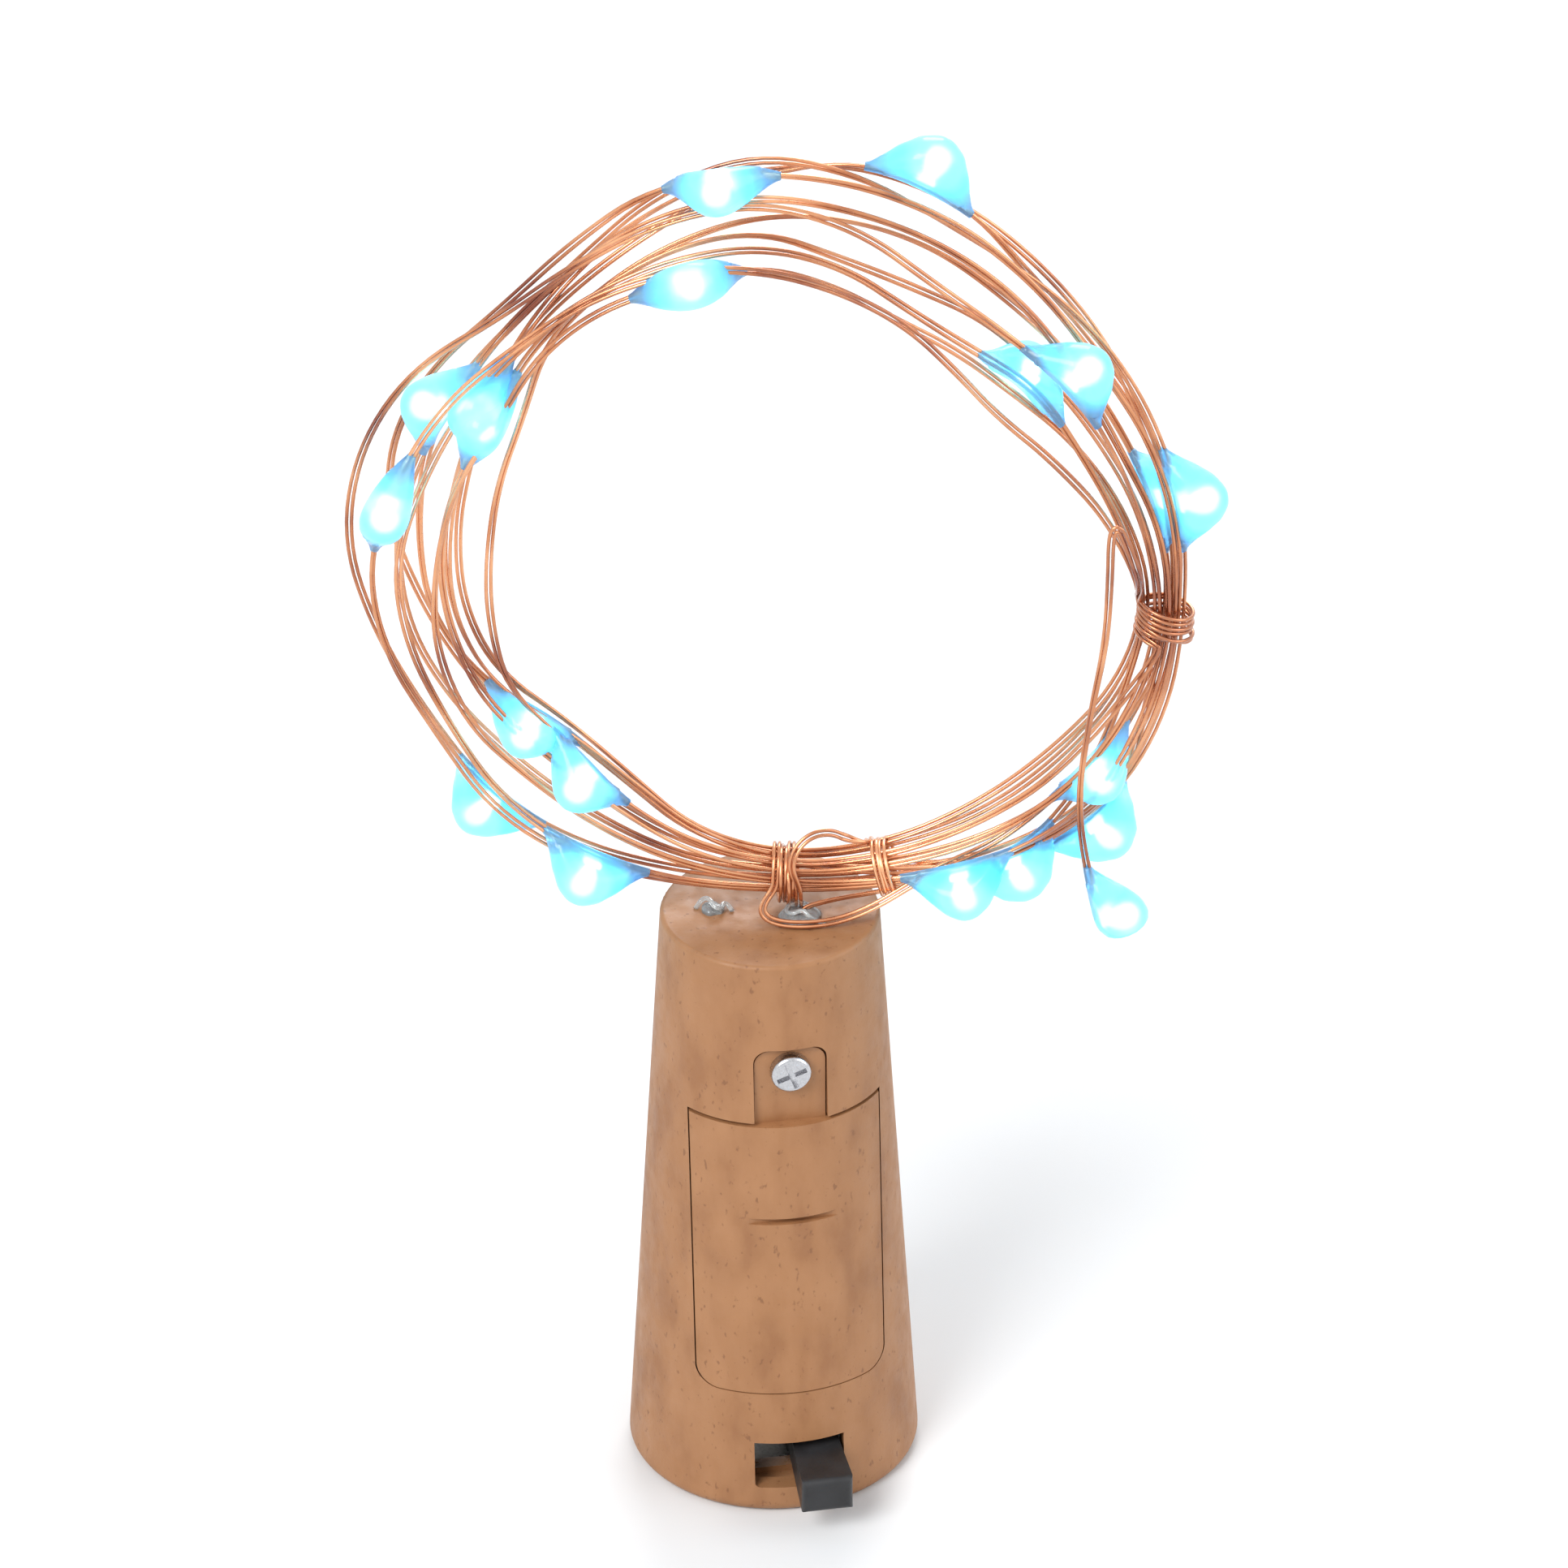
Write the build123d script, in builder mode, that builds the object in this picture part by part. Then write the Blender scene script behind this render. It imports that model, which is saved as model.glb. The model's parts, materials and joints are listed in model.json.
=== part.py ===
from build123d import *

import math
import os

import numpy as np

# Cork bottle light: a hollow stopper that holds three button cells, and a string of
# drop-shaped lights on fine twin wire, coiled into an upright ring above it.
# Millimetres, +Z up. The origin is the centre of the wide flat end, on which the light stands.
# The battery door and the switch face -Y.

# Stopper body
BODY_BASE_DIAMETER = 22.0
BODY_TOP_DIAMETER = 16.2
HEADROOM = 11.7
BASE_ROUNDING = 0.9
TOP_ROUNDING = 0.35
LOWER_WALL = 1.4
TOP_WALL = 1.8
LEDGE_HEIGHT = 10.0
FIT_CLEARANCE = 0.1
CUT_OVERRUN = 4.0

# Battery door in the front wall
DOOR_WIDTH = 14.4
DOOR_CORNER = 1.6
DOOR_SILL = 0.5
DOOR_THICKNESS = 1.4
DOOR_SEAT_DEPTH = 3.6
DOOR_TOP_CLEARANCE = 0.3
NAIL_GROOVE_DROP = 8.35
NAIL_GROOVE_WIDTH = 6.8
NAIL_GROOVE_GAP = 0.5
NAIL_GROOVE_DEPTH = 0.6
TONGUE_WIDTH = 6.0
TONGUE_THICKNESS = 0.8
TONGUE_SETBACK = 2.6
TONGUE_REACH = 1.7
BRIDGE_HEIGHT = 1.8
BRIDGE_BITE = 0.4

# Screw recess above the door, and the door's screw
RECESS_WIDTH = 5.5
RECESS_HEIGHT = 6.2
RECESS_CORNER = 1.2
RECESS_DEPTH = 1.6
PAD_MARGIN = 1.2
PAD_THICKNESS = 1.3
TAB_THICKNESS = 0.9
TAB_ROOT = 2.2
SCREW_DROP = 2.0
SCREW_DIAMETER = 1.5
SCREW_LENGTH = 4.2
SCREW_SWING = 0.65
SCREW_HEAD_DIAMETER = 3.0
SCREW_HEAD_HEIGHT = 1.0
SCREW_HEAD_ROUNDING = 0.35
SCREW_CROSS_WIDTH = 0.4
SCREW_CROSS_DEPTH = 0.55
BOSS_DIAMETER = 4.2
BOSS_LENGTH = 3.3

# Base cap, pressed into the wide end
CAP_THICKNESS = 1.6
PEDESTAL_HEIGHT = 0.5

# Button cells and their cradle
CELL_COUNT = 3
CELL_DIAMETER = 11.6
CELL_THICKNESS = 5.4
CELL_RIM_THICKNESS = 0.4
CELL_CAP_DIAMETER = 9.6
CELL_ROUNDING = 0.3
CRADLE_CLEARANCE = 0.3
CRADLE_GAP = 0.23
CRADLE_WALL = 0.7
CRADLE_END_WALL = 0.8
CRADLE_MOUTH = 3.0
CRADLE_TOP_SETBACK = 6.4
FLANGE_THICKNESS = 1.0
CONTACT_THICKNESS = 0.3
CONTACT_WIDTH = 7.0
WIRE_SLOT_WIDTH = 1.2

# Contact spring, a conical coil of round wire
SPRING_HEIGHT = 5.9
SPRING_WIRE = 0.5
SPRING_BASE_DIAMETER = 8.4
SPRING_TOP_DIAMETER = 4.4
SPRING_TURNS = 4

# Slide switch behind its window
WINDOW_LEFT = -3.25
WINDOW_RIGHT = 3.57
WINDOW_BOTTOM = 2.3
WINDOW_TOP = 6.2
WINDOW_CORNER = 0.35
SWITCH_CLEARANCE = 0.2
SWITCH_DEPTH = 3.8
SWITCH_WIDTH = 9.2
SWITCH_HEIGHT = 4.3
SWITCH_WALL = 0.5
LEVER_WIDTH = 3.9
LEVER_ROOT_WIDTH = 3.3
LEVER_ROOT_HEIGHT = 2.4
LEVER_TIP_HEIGHT = 2.9
LEVER_REACH = 4.0
LEVER_DROOP = 0.35
LEVER_ROUNDING = 0.5
TERMINAL_WIDTH = 0.8
TERMINAL_THICKNESS = 0.4
TERMINAL_LENGTH = 1.3
TERMINAL_PITCH = 2.5

# Wiring inside the body
LEAD_DIAMETER = 0.8
SLEEVE_DIAMETER = 2.0
SLEEVE_LENGTH = 3.2
RESISTOR_DIAMETER = 1.8
RESISTOR_LENGTH = 3.6
RESISTOR_WIRE = 0.4
RESISTOR_X = 2.9
RESISTOR_Y = 2.4

# String of lights
CORD_DIAMETER = 0.7
STRAND_GAP = 0.49
RING_TURN = -10.0
RING_CENTRE_X = 1.6
RING_CENTRE_HEIGHT = 79.1
RING_RADIUS = 26.9
FAN_HALF_WIDTH = 5.3
FAN_HALF_DEPTH = 3.45
COIL_TURNS = 11
SLOTS = COIL_TURNS + 1
SLOT_STEP = 5
TIE_CLEARANCE = 0.3

# Stations of each turn: lower tie, side tie, top and left
STATION_ANGLES = (268.0, 349.0, 440.0, 538.0)
STATION_LEANS = (6.0, -14.0, 4.0, 0.0)
STATION_TWISTS = (0.0, -11.8, -33.1, 11.9)
STATION_RADIUS_SHARES = (1.024, 1.022, 0.961, 1.0)
FAN_WIDTH_SHARES = (0.0, 0.0, 0.92, 1.0)
FAN_DEPTH_SHARES = (0.0, 0.0, 1.0, 0.89)
INNER_TURN_SHARES = (1.0, 1.0, 0.71, 0.53)
DRIFT_SHARES = (0.0, 0.19, 0.51, 0.82)
EASE_SHARES = (0.35, 0.33, 0.89, 0.26)

# Windings of the ties, a quarter turn at a time along the bundle
LOWER_TIE_START = -4.3
LOWER_TIE_STEPS = (0.33,) * 12 + (1.1,) * 4 + (0.33,) * 8 + (0.9, 2.2, 4.2)
SIDE_TIE_END = -0.5
SIDE_TIE_STEPS = (3.6, 1.4) + (0.33,) * 10
SIDE_TIE_WHOLE_TURNS = 2
TIE_FRONT_ANGLE = -90
BETWEEN_TIES = 20.0
RUN_OUT_SHARE = 0.12

# Free stretches of the string, in the ring's own upright plane
LEAD_POINTS = (
    (1.2, -2.7, 48.15),
    (-1.4, -3.9, 47.95),
)
LEAD_RISE = 1.6
TAIL_OUT = 1.3
TAIL_POINTS = (
    (25.4, -3.9, 76.0),
    (25.9, -4.2, 78.1),
    (25.9, -4.4, 79.4),
    (25.2, -4.6, 80.3),
    (24.1, -4.7, 80.1),
    (23.6, -4.7, 79.0),
    (23.9, -4.6, 76.4),
    (24.1, -4.5, 71.8),
    (23.5, -4.2, 65.6),
    (22.6, -4.4, 59.4),
    (22.9, -4.2, 53.6),
    (24.1, -3.9, 48.4),
)

# Drop lights on the string
DROP_COUNT = 20
DROP_SPACING = 102.0
FIRST_DROP_PLACE = 6.0
DROP_SHIFTS = (
    *(3.8, 0.0, 3.2, -5.4, 4.4, 5.5, -4.9, 2.7, 2.0, 1.4),
    *(-1.0, 1.6, 1.6, 4.3, 6.9, -9.1, -1.0, 2.5, -5.2),
)
DROP_LENGTH = 8.6
DROP_HEIGHT = 4.4
DROP_WIDTH = 3.5
DROP_PLACE_SHARES = (-0.5, -0.27, 0.0, 0.25, 0.5)
DROP_HEIGHT_SHARES = (0.2, 0.55, 1.0, 0.58, 0.2)
DROP_WIDTH_SHARES = (0.26, 0.6, 1.0, 0.64, 0.26)
LAST_DROP_PLACE_SHARES = (-0.62, -0.4, -0.1, 0.12)
LAST_DROP_HEIGHT_SHARES = (0.2, 0.45, 0.86, 0.7)
LAST_DROP_WIDTH_SHARES = (0.26, 0.5, 1.0, 0.8)

# Lean of each drop's bulb in degrees, from straight outwards in the ring to the back
BULB_LEANS = (-70, -20, -100, -30, -90, 35, -70, -10, 0, 0, -90, -70, -20, -60, -50, -30, -20, 10, -60)
CHIP_LENGTH = 1.4
CHIP_WIDTH = 0.9
CHIP_THICKNESS = 0.5
CHIP_CLEARANCE = 0.1

# Glue where the string leaves the body
EXIT_X = 2.3
EXIT_Y = -1.23
EXIT_HOLE_DIAMETER = 2.4
SEAL_DIAMETER = 3.6
SEAL_HEIGHT = 0.75
DAB_X = -4.27
DAB_Y = -0.21
DAB_DIAMETER = 1.8
DAB_HEIGHT = 0.5

# Places worked out from the sizes above
CRADLE_BORE_RADIUS = CELL_DIAMETER / 2 + CRADLE_CLEARANCE
CRADLE_RADIUS = CRADLE_BORE_RADIUS + CRADLE_WALL
CELL_STACK_BOTTOM = LEDGE_HEIGHT + CONTACT_THICKNESS + SPRING_HEIGHT
CELL_STACK_TOP = CELL_STACK_BOTTOM + CELL_COUNT * CELL_THICKNESS
CRADLE_ROOF = CELL_STACK_TOP + CONTACT_THICKNESS
CRADLE_TOP = CRADLE_ROOF + CRADLE_END_WALL
BODY_HEIGHT = CRADLE_TOP + HEADROOM + TOP_WALL
DOOR_BOTTOM = LEDGE_HEIGHT + DOOR_SILL
DOOR_TOP = CRADLE_TOP + CRADLE_CLEARANCE
NAIL_GROOVE_HEIGHT = DOOR_TOP - NAIL_GROOVE_DROP
RECESS_TOP = DOOR_TOP + RECESS_HEIGHT
SCREW_HEIGHT = RECESS_TOP - SCREW_DROP
SWITCH_X = (WINDOW_LEFT + WINDOW_RIGHT) / 2
SWITCH_Z = CAP_THICKNESS + PEDESTAL_HEIGHT + SWITCH_HEIGHT / 2
LEVER_X = WINDOW_RIGHT - LEVER_WIDTH / 2 - FIT_CLEARANCE
SLEEVE_BOTTOM = BODY_HEIGHT - TOP_WALL - SLEEVE_LENGTH - FIT_CLEARANCE
BUNDLE_RADIUS = (CORD_DIAMETER + STRAND_GAP) / (2 * math.sin(math.pi / SLOTS))
TIE_RADIUS = BUNDLE_RADIUS + CORD_DIAMETER + TIE_CLEARANCE
RING_CENTRE = Vector(RING_CENTRE_X, 0, RING_CENTRE_HEIGHT)
DEPTH = Vector(0, 1, 0)


def body_radius(height):
    """Outer radius of the tapered body at a height above its base."""
    taper = (BODY_BASE_DIAMETER - BODY_TOP_DIAMETER) / 2 / BODY_HEIGHT
    return BODY_BASE_DIAMETER / 2 - taper * height


# Depths measured in from the body's outside
UPPER_WALL = body_radius(CRADLE_TOP) - CRADLE_RADIUS - CRADLE_GAP
TONGUE_FACE = body_radius(DOOR_BOTTOM) - TONGUE_SETBACK
RECESS_FLOOR = body_radius(SCREW_HEIGHT) - RECESS_DEPTH
HEAD_SEAT = RECESS_FLOOR + TAB_THICKNESS
switch_corner = SWITCH_WIDTH / 2 + abs(SWITCH_X)
switch_bore = body_radius(SWITCH_Z + SWITCH_HEIGHT / 2) - LOWER_WALL
SWITCH_FACE = math.sqrt(switch_bore**2 - switch_corner**2) - SWITCH_CLEARANCE
SWITCH_BACK = SWITCH_FACE - SWITCH_DEPTH

os.makedirs("parts", exist_ok=True)


def save(piece, name):
    """Label a finished piece and write it as its own file."""
    piece.part.label = name
    export_step(piece.part, f"parts/{name}.step")


def tapered(inset, low, high, mode=Mode.ADD):
    """A slice of the body's taper between two heights, drawn in by the inset."""
    with Locations((0, 0, low)):
        Cone(
            body_radius(low) - inset,
            body_radius(high) - inset,
            high - low,
            align=(Align.CENTER, Align.CENTER, Align.MIN),
            mode=mode,
        )


def post(radius, low, high, mode=Mode.ADD):
    """An upright cylinder on the body's axis between two heights."""
    with Locations((0, 0, low)):
        Cylinder(radius, high - low, align=(Align.CENTER, Align.CENTER, Align.MIN), mode=mode)


def front_prism(left, right, low, high, lower_corner, upper_corner, back, front):
    """A block seen from the front as a rectangle with rounded corners, between two depths."""
    with BuildPart() as prism:
        with BuildSketch(Plane.XZ.offset(back)) as outline:
            with Locations(((left + right) / 2, (low + high) / 2)):
                Rectangle(right - left, high - low)
            rows = outline.vertices().group_by(Axis.Y)
            if lower_corner:
                fillet(rows[0], radius=lower_corner)
            if upper_corner:
                fillet(rows[-1], radius=upper_corner)
        extrude(amount=front - back)
    return prism.part


# Cavity of the body, with the screw's pad and boss left standing
FRONT_OUTSIDE = BODY_BASE_DIAMETER / 2 + CUT_OVERRUN
PAD_INSIDE = RECESS_FLOOR - PAD_THICKNESS
screw_pad = front_prism(
    -RECESS_WIDTH / 2 - PAD_MARGIN,
    RECESS_WIDTH / 2 + PAD_MARGIN,
    DOOR_TOP,
    RECESS_TOP + PAD_MARGIN,
    0,
    0,
    PAD_INSIDE,
    FRONT_OUTSIDE,
)
with BuildPart() as body_cavity:
    tapered(LOWER_WALL, 0, LEDGE_HEIGHT)
    tapered(UPPER_WALL, LEDGE_HEIGHT, BODY_HEIGHT - TOP_WALL)
    add(screw_pad, mode=Mode.SUBTRACT)
    with BuildSketch(Plane.XZ.offset(PAD_INSIDE)):
        with Locations((0, SCREW_HEIGHT)):
            Circle(BOSS_DIAMETER / 2)
    extrude(amount=-BOSS_LENGTH, mode=Mode.SUBTRACT)

# Housing shell
door_opening = front_prism(
    -DOOR_WIDTH / 2, DOOR_WIDTH / 2, DOOR_BOTTOM, DOOR_TOP, DOOR_CORNER, 0, DOOR_SEAT_DEPTH, FRONT_OUTSIDE
)
recess = front_prism(
    -RECESS_WIDTH / 2,
    RECESS_WIDTH / 2,
    DOOR_TOP - FIT_CLEARANCE,
    RECESS_TOP,
    0,
    RECESS_CORNER,
    RECESS_FLOOR,
    FRONT_OUTSIDE,
)
window = front_prism(
    WINDOW_LEFT, WINDOW_RIGHT, WINDOW_BOTTOM, WINDOW_TOP, WINDOW_CORNER, WINDOW_CORNER, SWITCH_FACE, FRONT_OUTSIDE
)
exit_place = Vector(EXIT_X, EXIT_Y, 0).rotate(Axis.Z, RING_TURN)
with BuildPart() as housing_shell:
    tapered(0, 0, BODY_HEIGHT)
    fillet(housing_shell.edges().sort_by(Axis.Z)[0], radius=BASE_ROUNDING)
    fillet(housing_shell.edges().sort_by(Axis.Z)[-1], radius=TOP_ROUNDING)
    add(body_cavity.part, mode=Mode.SUBTRACT)
    add(door_opening, mode=Mode.SUBTRACT)
    add(recess, mode=Mode.SUBTRACT)
    add(window, mode=Mode.SUBTRACT)
    with BuildSketch(Plane.XZ.offset(RECESS_FLOOR)):
        with Locations((0, SCREW_HEIGHT + SCREW_SWING / 2)):
            SlotCenterToCenter(SCREW_SWING, SCREW_DIAMETER + 2 * FIT_CLEARANCE, rotation=90)
    extrude(amount=-(PAD_THICKNESS + BOSS_LENGTH), mode=Mode.SUBTRACT)
    with Locations((exit_place.X, exit_place.Y, BODY_HEIGHT)):
        Hole(EXIT_HOLE_DIAMETER / 2, depth=TOP_WALL + FIT_CLEARANCE)
save(housing_shell, "housing_shell")

# Base cap, a slow taper that wedges in the wide end, with a pedestal under the switch
with BuildPart() as base_cap:
    tapered(LOWER_WALL + FIT_CLEARANCE / 2, 0, CAP_THICKNESS)
    with BuildSketch(Plane.XY.offset(CAP_THICKNESS)):
        with Locations((SWITCH_X, -(SWITCH_FACE + SWITCH_BACK) / 2)):
            Rectangle(SWITCH_WIDTH, SWITCH_DEPTH)
    extrude(amount=PEDESTAL_HEIGHT)
save(base_cap, "base_cap")

# Battery door: a curved panel with a tab under the screw and a tongue behind the lower wall
door_blank = front_prism(
    -DOOR_WIDTH / 2 + FIT_CLEARANCE,
    DOOR_WIDTH / 2 - FIT_CLEARANCE,
    DOOR_BOTTOM + FIT_CLEARANCE,
    DOOR_TOP - DOOR_TOP_CLEARANCE,
    DOOR_CORNER - FIT_CLEARANCE,
    0,
    DOOR_SEAT_DEPTH + FIT_CLEARANCE,
    FRONT_OUTSIDE,
)
door_tab = front_prism(
    -RECESS_WIDTH / 2 + FIT_CLEARANCE,
    RECESS_WIDTH / 2 - FIT_CLEARANCE,
    DOOR_TOP - TAB_ROOT,
    RECESS_TOP - DOOR_TOP_CLEARANCE,
    0,
    RECESS_CORNER - FIT_CLEARANCE,
    RECESS_FLOOR,
    HEAD_SEAT,
)
door_bridge = front_prism(
    -TONGUE_WIDTH / 2,
    TONGUE_WIDTH / 2,
    DOOR_BOTTOM + FIT_CLEARANCE,
    DOOR_BOTTOM + BRIDGE_HEIGHT,
    0,
    0,
    TONGUE_FACE - TONGUE_THICKNESS,
    body_radius(DOOR_BOTTOM) - DOOR_THICKNESS + BRIDGE_BITE,
)
door_tongue = front_prism(
    -TONGUE_WIDTH / 2,
    TONGUE_WIDTH / 2,
    DOOR_BOTTOM - TONGUE_REACH,
    DOOR_BOTTOM + BRIDGE_HEIGHT,
    0,
    0,
    TONGUE_FACE - TONGUE_THICKNESS,
    TONGUE_FACE,
)
nail_floor = body_radius(NAIL_GROOVE_HEIGHT) - NAIL_GROOVE_DEPTH
nail_groove = front_prism(
    -NAIL_GROOVE_WIDTH / 2,
    NAIL_GROOVE_WIDTH / 2,
    NAIL_GROOVE_HEIGHT - NAIL_GROOVE_GAP / 2,
    NAIL_GROOVE_HEIGHT + NAIL_GROOVE_GAP / 2,
    0,
    0,
    nail_floor,
    FRONT_OUTSIDE,
)
with BuildPart() as battery_door:
    tapered(0, 0, BODY_HEIGHT)
    add(door_blank, mode=Mode.INTERSECT)
    tapered(DOOR_THICKNESS, 0, BODY_HEIGHT, mode=Mode.SUBTRACT)
    add(nail_groove, mode=Mode.SUBTRACT)
    add(door_tab)
    add(door_bridge)
    add(door_tongue)
    with BuildSketch(Plane.XZ.offset(RECESS_FLOOR)):
        with Locations((0, SCREW_HEIGHT)):
            Circle(SCREW_DIAMETER / 2 + FIT_CLEARANCE)
    extrude(amount=TAB_THICKNESS, mode=Mode.SUBTRACT)
save(battery_door, "battery_door")

# Door screw with a crossed recess
with BuildPart() as door_screw:
    with BuildSketch(Plane.XZ.offset(HEAD_SEAT)):
        with Locations((0, SCREW_HEIGHT)):
            Circle(SCREW_HEAD_DIAMETER / 2)
    extrude(amount=SCREW_HEAD_HEIGHT)
    fillet(door_screw.edges().sort_by(Axis.Y)[0], radius=SCREW_HEAD_ROUNDING)
    with BuildSketch(Plane.XZ.offset(HEAD_SEAT)):
        with Locations((0, SCREW_HEIGHT)):
            Circle(SCREW_DIAMETER / 2)
    extrude(amount=-SCREW_LENGTH)
    with BuildSketch(Plane.XZ.offset(HEAD_SEAT + SCREW_HEAD_HEIGHT)):
        with Locations((0, SCREW_HEIGHT)):
            Rectangle(SCREW_CROSS_WIDTH, SCREW_HEAD_DIAMETER - 2 * SCREW_HEAD_ROUNDING, rotation=20)
            Rectangle(SCREW_CROSS_WIDTH, SCREW_HEAD_DIAMETER - 2 * SCREW_HEAD_ROUNDING, rotation=110)
    extrude(amount=-SCREW_CROSS_DEPTH, mode=Mode.SUBTRACT)
save(door_screw, "door_screw")

# Cell cradle: a trough open to the door, on a flange that seats under the housing's ledge
FLANGE_BOTTOM = LEDGE_HEIGHT - FLANGE_THICKNESS
FLANGE_RADIUS = body_radius(LEDGE_HEIGHT) - LOWER_WALL - FIT_CLEARANCE
TONGUE_INSIDE = TONGUE_FACE - TONGUE_THICKNESS
tongue_notch = front_prism(
    -TONGUE_WIDTH / 2 - CRADLE_CLEARANCE,
    TONGUE_WIDTH / 2 + CRADLE_CLEARANCE,
    FLANGE_BOTTOM - CRADLE_CLEARANCE,
    LEDGE_HEIGHT + CRADLE_CLEARANCE,
    0,
    0,
    TONGUE_INSIDE - CRADLE_WALL,
    FRONT_OUTSIDE,
)
trough_mouth = front_prism(
    -FRONT_OUTSIDE,
    FRONT_OUTSIDE,
    LEDGE_HEIGHT,
    CRADLE_ROOF,
    0,
    0,
    CRADLE_MOUTH,
    FRONT_OUTSIDE,
)
roof_setback = front_prism(
    -FRONT_OUTSIDE,
    FRONT_OUTSIDE,
    CRADLE_ROOF - CRADLE_END_WALL,
    CRADLE_TOP + CRADLE_END_WALL,
    0,
    0,
    CRADLE_TOP_SETBACK,
    FRONT_OUTSIDE,
)
CELL_LEAD_X = SWITCH_X + TERMINAL_PITCH
CELL_LEAD_Y = 1.2
with BuildPart() as cell_cradle:
    post(CRADLE_RADIUS, LEDGE_HEIGHT, CRADLE_TOP)
    post(CRADLE_BORE_RADIUS, LEDGE_HEIGHT, CRADLE_ROOF, mode=Mode.SUBTRACT)
    post(FLANGE_RADIUS, FLANGE_BOTTOM, LEDGE_HEIGHT)
    add(trough_mouth, mode=Mode.SUBTRACT)
    add(roof_setback, mode=Mode.SUBTRACT)
    add(tongue_notch, mode=Mode.SUBTRACT)
    with BuildSketch(Plane.XY.offset(FLANGE_BOTTOM)):
        with Locations((0, CRADLE_BORE_RADIUS - CRADLE_WALL)):
            Rectangle(WIRE_SLOT_WIDTH, FLANGE_RADIUS, align=(Align.CENTER, Align.MIN))
        with Locations((CELL_LEAD_X, CELL_LEAD_Y)):
            Circle(LEAD_DIAMETER / 2 + FIT_CLEARANCE)
    extrude(amount=FLANGE_THICKNESS, mode=Mode.SUBTRACT)
    with BuildSketch(Plane.XY.offset(LEDGE_HEIGHT)):
        with Locations((0, CRADLE_BORE_RADIUS - CRADLE_WALL)):
            Rectangle(WIRE_SLOT_WIDTH, FLANGE_RADIUS, align=(Align.CENTER, Align.MIN))
    extrude(amount=CRADLE_TOP - LEDGE_HEIGHT, mode=Mode.SUBTRACT)
    with BuildSketch(Plane.XY.offset(CRADLE_ROOF)):
        with Locations((RESISTOR_X, RESISTOR_Y)):
            Circle(RESISTOR_WIRE / 2 + FIT_CLEARANCE)
    extrude(amount=CRADLE_END_WALL, mode=Mode.SUBTRACT)
save(cell_cradle, "cell_cradle")

# Button cells in a stack, cap down
for number in range(CELL_COUNT):
    bottom = CELL_STACK_BOTTOM + number * CELL_THICKNESS
    with BuildPart() as button_cell:
        post(CELL_CAP_DIAMETER / 2, bottom, bottom + CELL_THICKNESS)
        post(CELL_DIAMETER / 2, bottom + CELL_RIM_THICKNESS, bottom + CELL_THICKNESS)
        can_edges = button_cell.edges().filter_by(GeomType.CIRCLE).sort_by(SortBy.RADIUS)[-2:]
        fillet(can_edges, radius=CELL_ROUNDING)
    save(button_cell, f"button_cell_{number + 1}")

# Contacts at the two ends of the stack
with BuildPart() as spring_plate:
    with BuildSketch(Plane.XY.offset(LEDGE_HEIGHT)):
        Circle(SPRING_BASE_DIAMETER / 2 + SPRING_WIRE)
    extrude(amount=CONTACT_THICKNESS)
save(spring_plate, "spring_plate")

with BuildPart() as top_contact:
    with BuildSketch(Plane.XY.offset(CELL_STACK_TOP)):
        RectangleRounded(CONTACT_WIDTH, CONTACT_WIDTH, CRADLE_WALL)
    extrude(amount=CONTACT_THICKNESS)
save(top_contact, "top_contact")


# Wound forms: smooth arcs between stations, each with a point and a heading
def join_with_arcs(stations):
    """Draw two arcs from each station to the next, smooth at every join."""
    for (start, heading), (end, exit_heading) in zip(stations, stations[1:]):
        span = end - start
        reach = span.dot(heading + exit_heading)
        spread = 2 * (1 - heading.dot(exit_heading))
        square = span.dot(span)
        handle = square / (reach + math.sqrt(reach**2 + spread * square))
        middle = (start + end + (heading - exit_heading) * handle) * 0.5
        TangentArc(start, middle, tangent=heading)
        TangentArc(end, middle, tangent=exit_heading * -1)


def wound_tube(stations, diameter):
    """One unbroken tube through the stations, with straight ends one diameter long."""
    first_point, first_heading = stations[0]
    last_point, last_heading = stations[-1]
    start = first_point - first_heading * diameter
    end = last_point + last_heading * diameter
    with BuildPart() as tube:
        with BuildLine() as route:
            Line(start, first_point)
            join_with_arcs(stations)
            Line(last_point, end)
        with BuildSketch(Plane(origin=start, z_dir=first_heading)):
            Circle(diameter / 2)
        sweep()
    return tube, route.wire()


def least_gap(route, diameter, step_share=0.7, skip_share=8):
    """Least distance between a tube's surface and itself, away from its own neighbourhood."""
    count = int(route.length / (diameter * step_share)) + 1
    spots = np.array([tuple(p) for p in route.positions([i / count for i in range(count + 1)])])
    starts, ends = spots[:-1], spots[1:]
    runs = ends - starts
    squares = (runs**2).sum(axis=1)
    order = np.arange(count)
    skip = int(skip_share / step_share)
    least = math.inf
    for index, spot in enumerate(spots[:-1]):
        share = np.clip(((spot - starts) * runs).sum(axis=1) / squares, 0, 1)
        away = np.linalg.norm(spot - (starts + runs * share[:, None]), axis=1)
        away[np.abs(order - index) < skip] = math.inf
        least = min(least, away.min())
    return least - diameter


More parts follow.
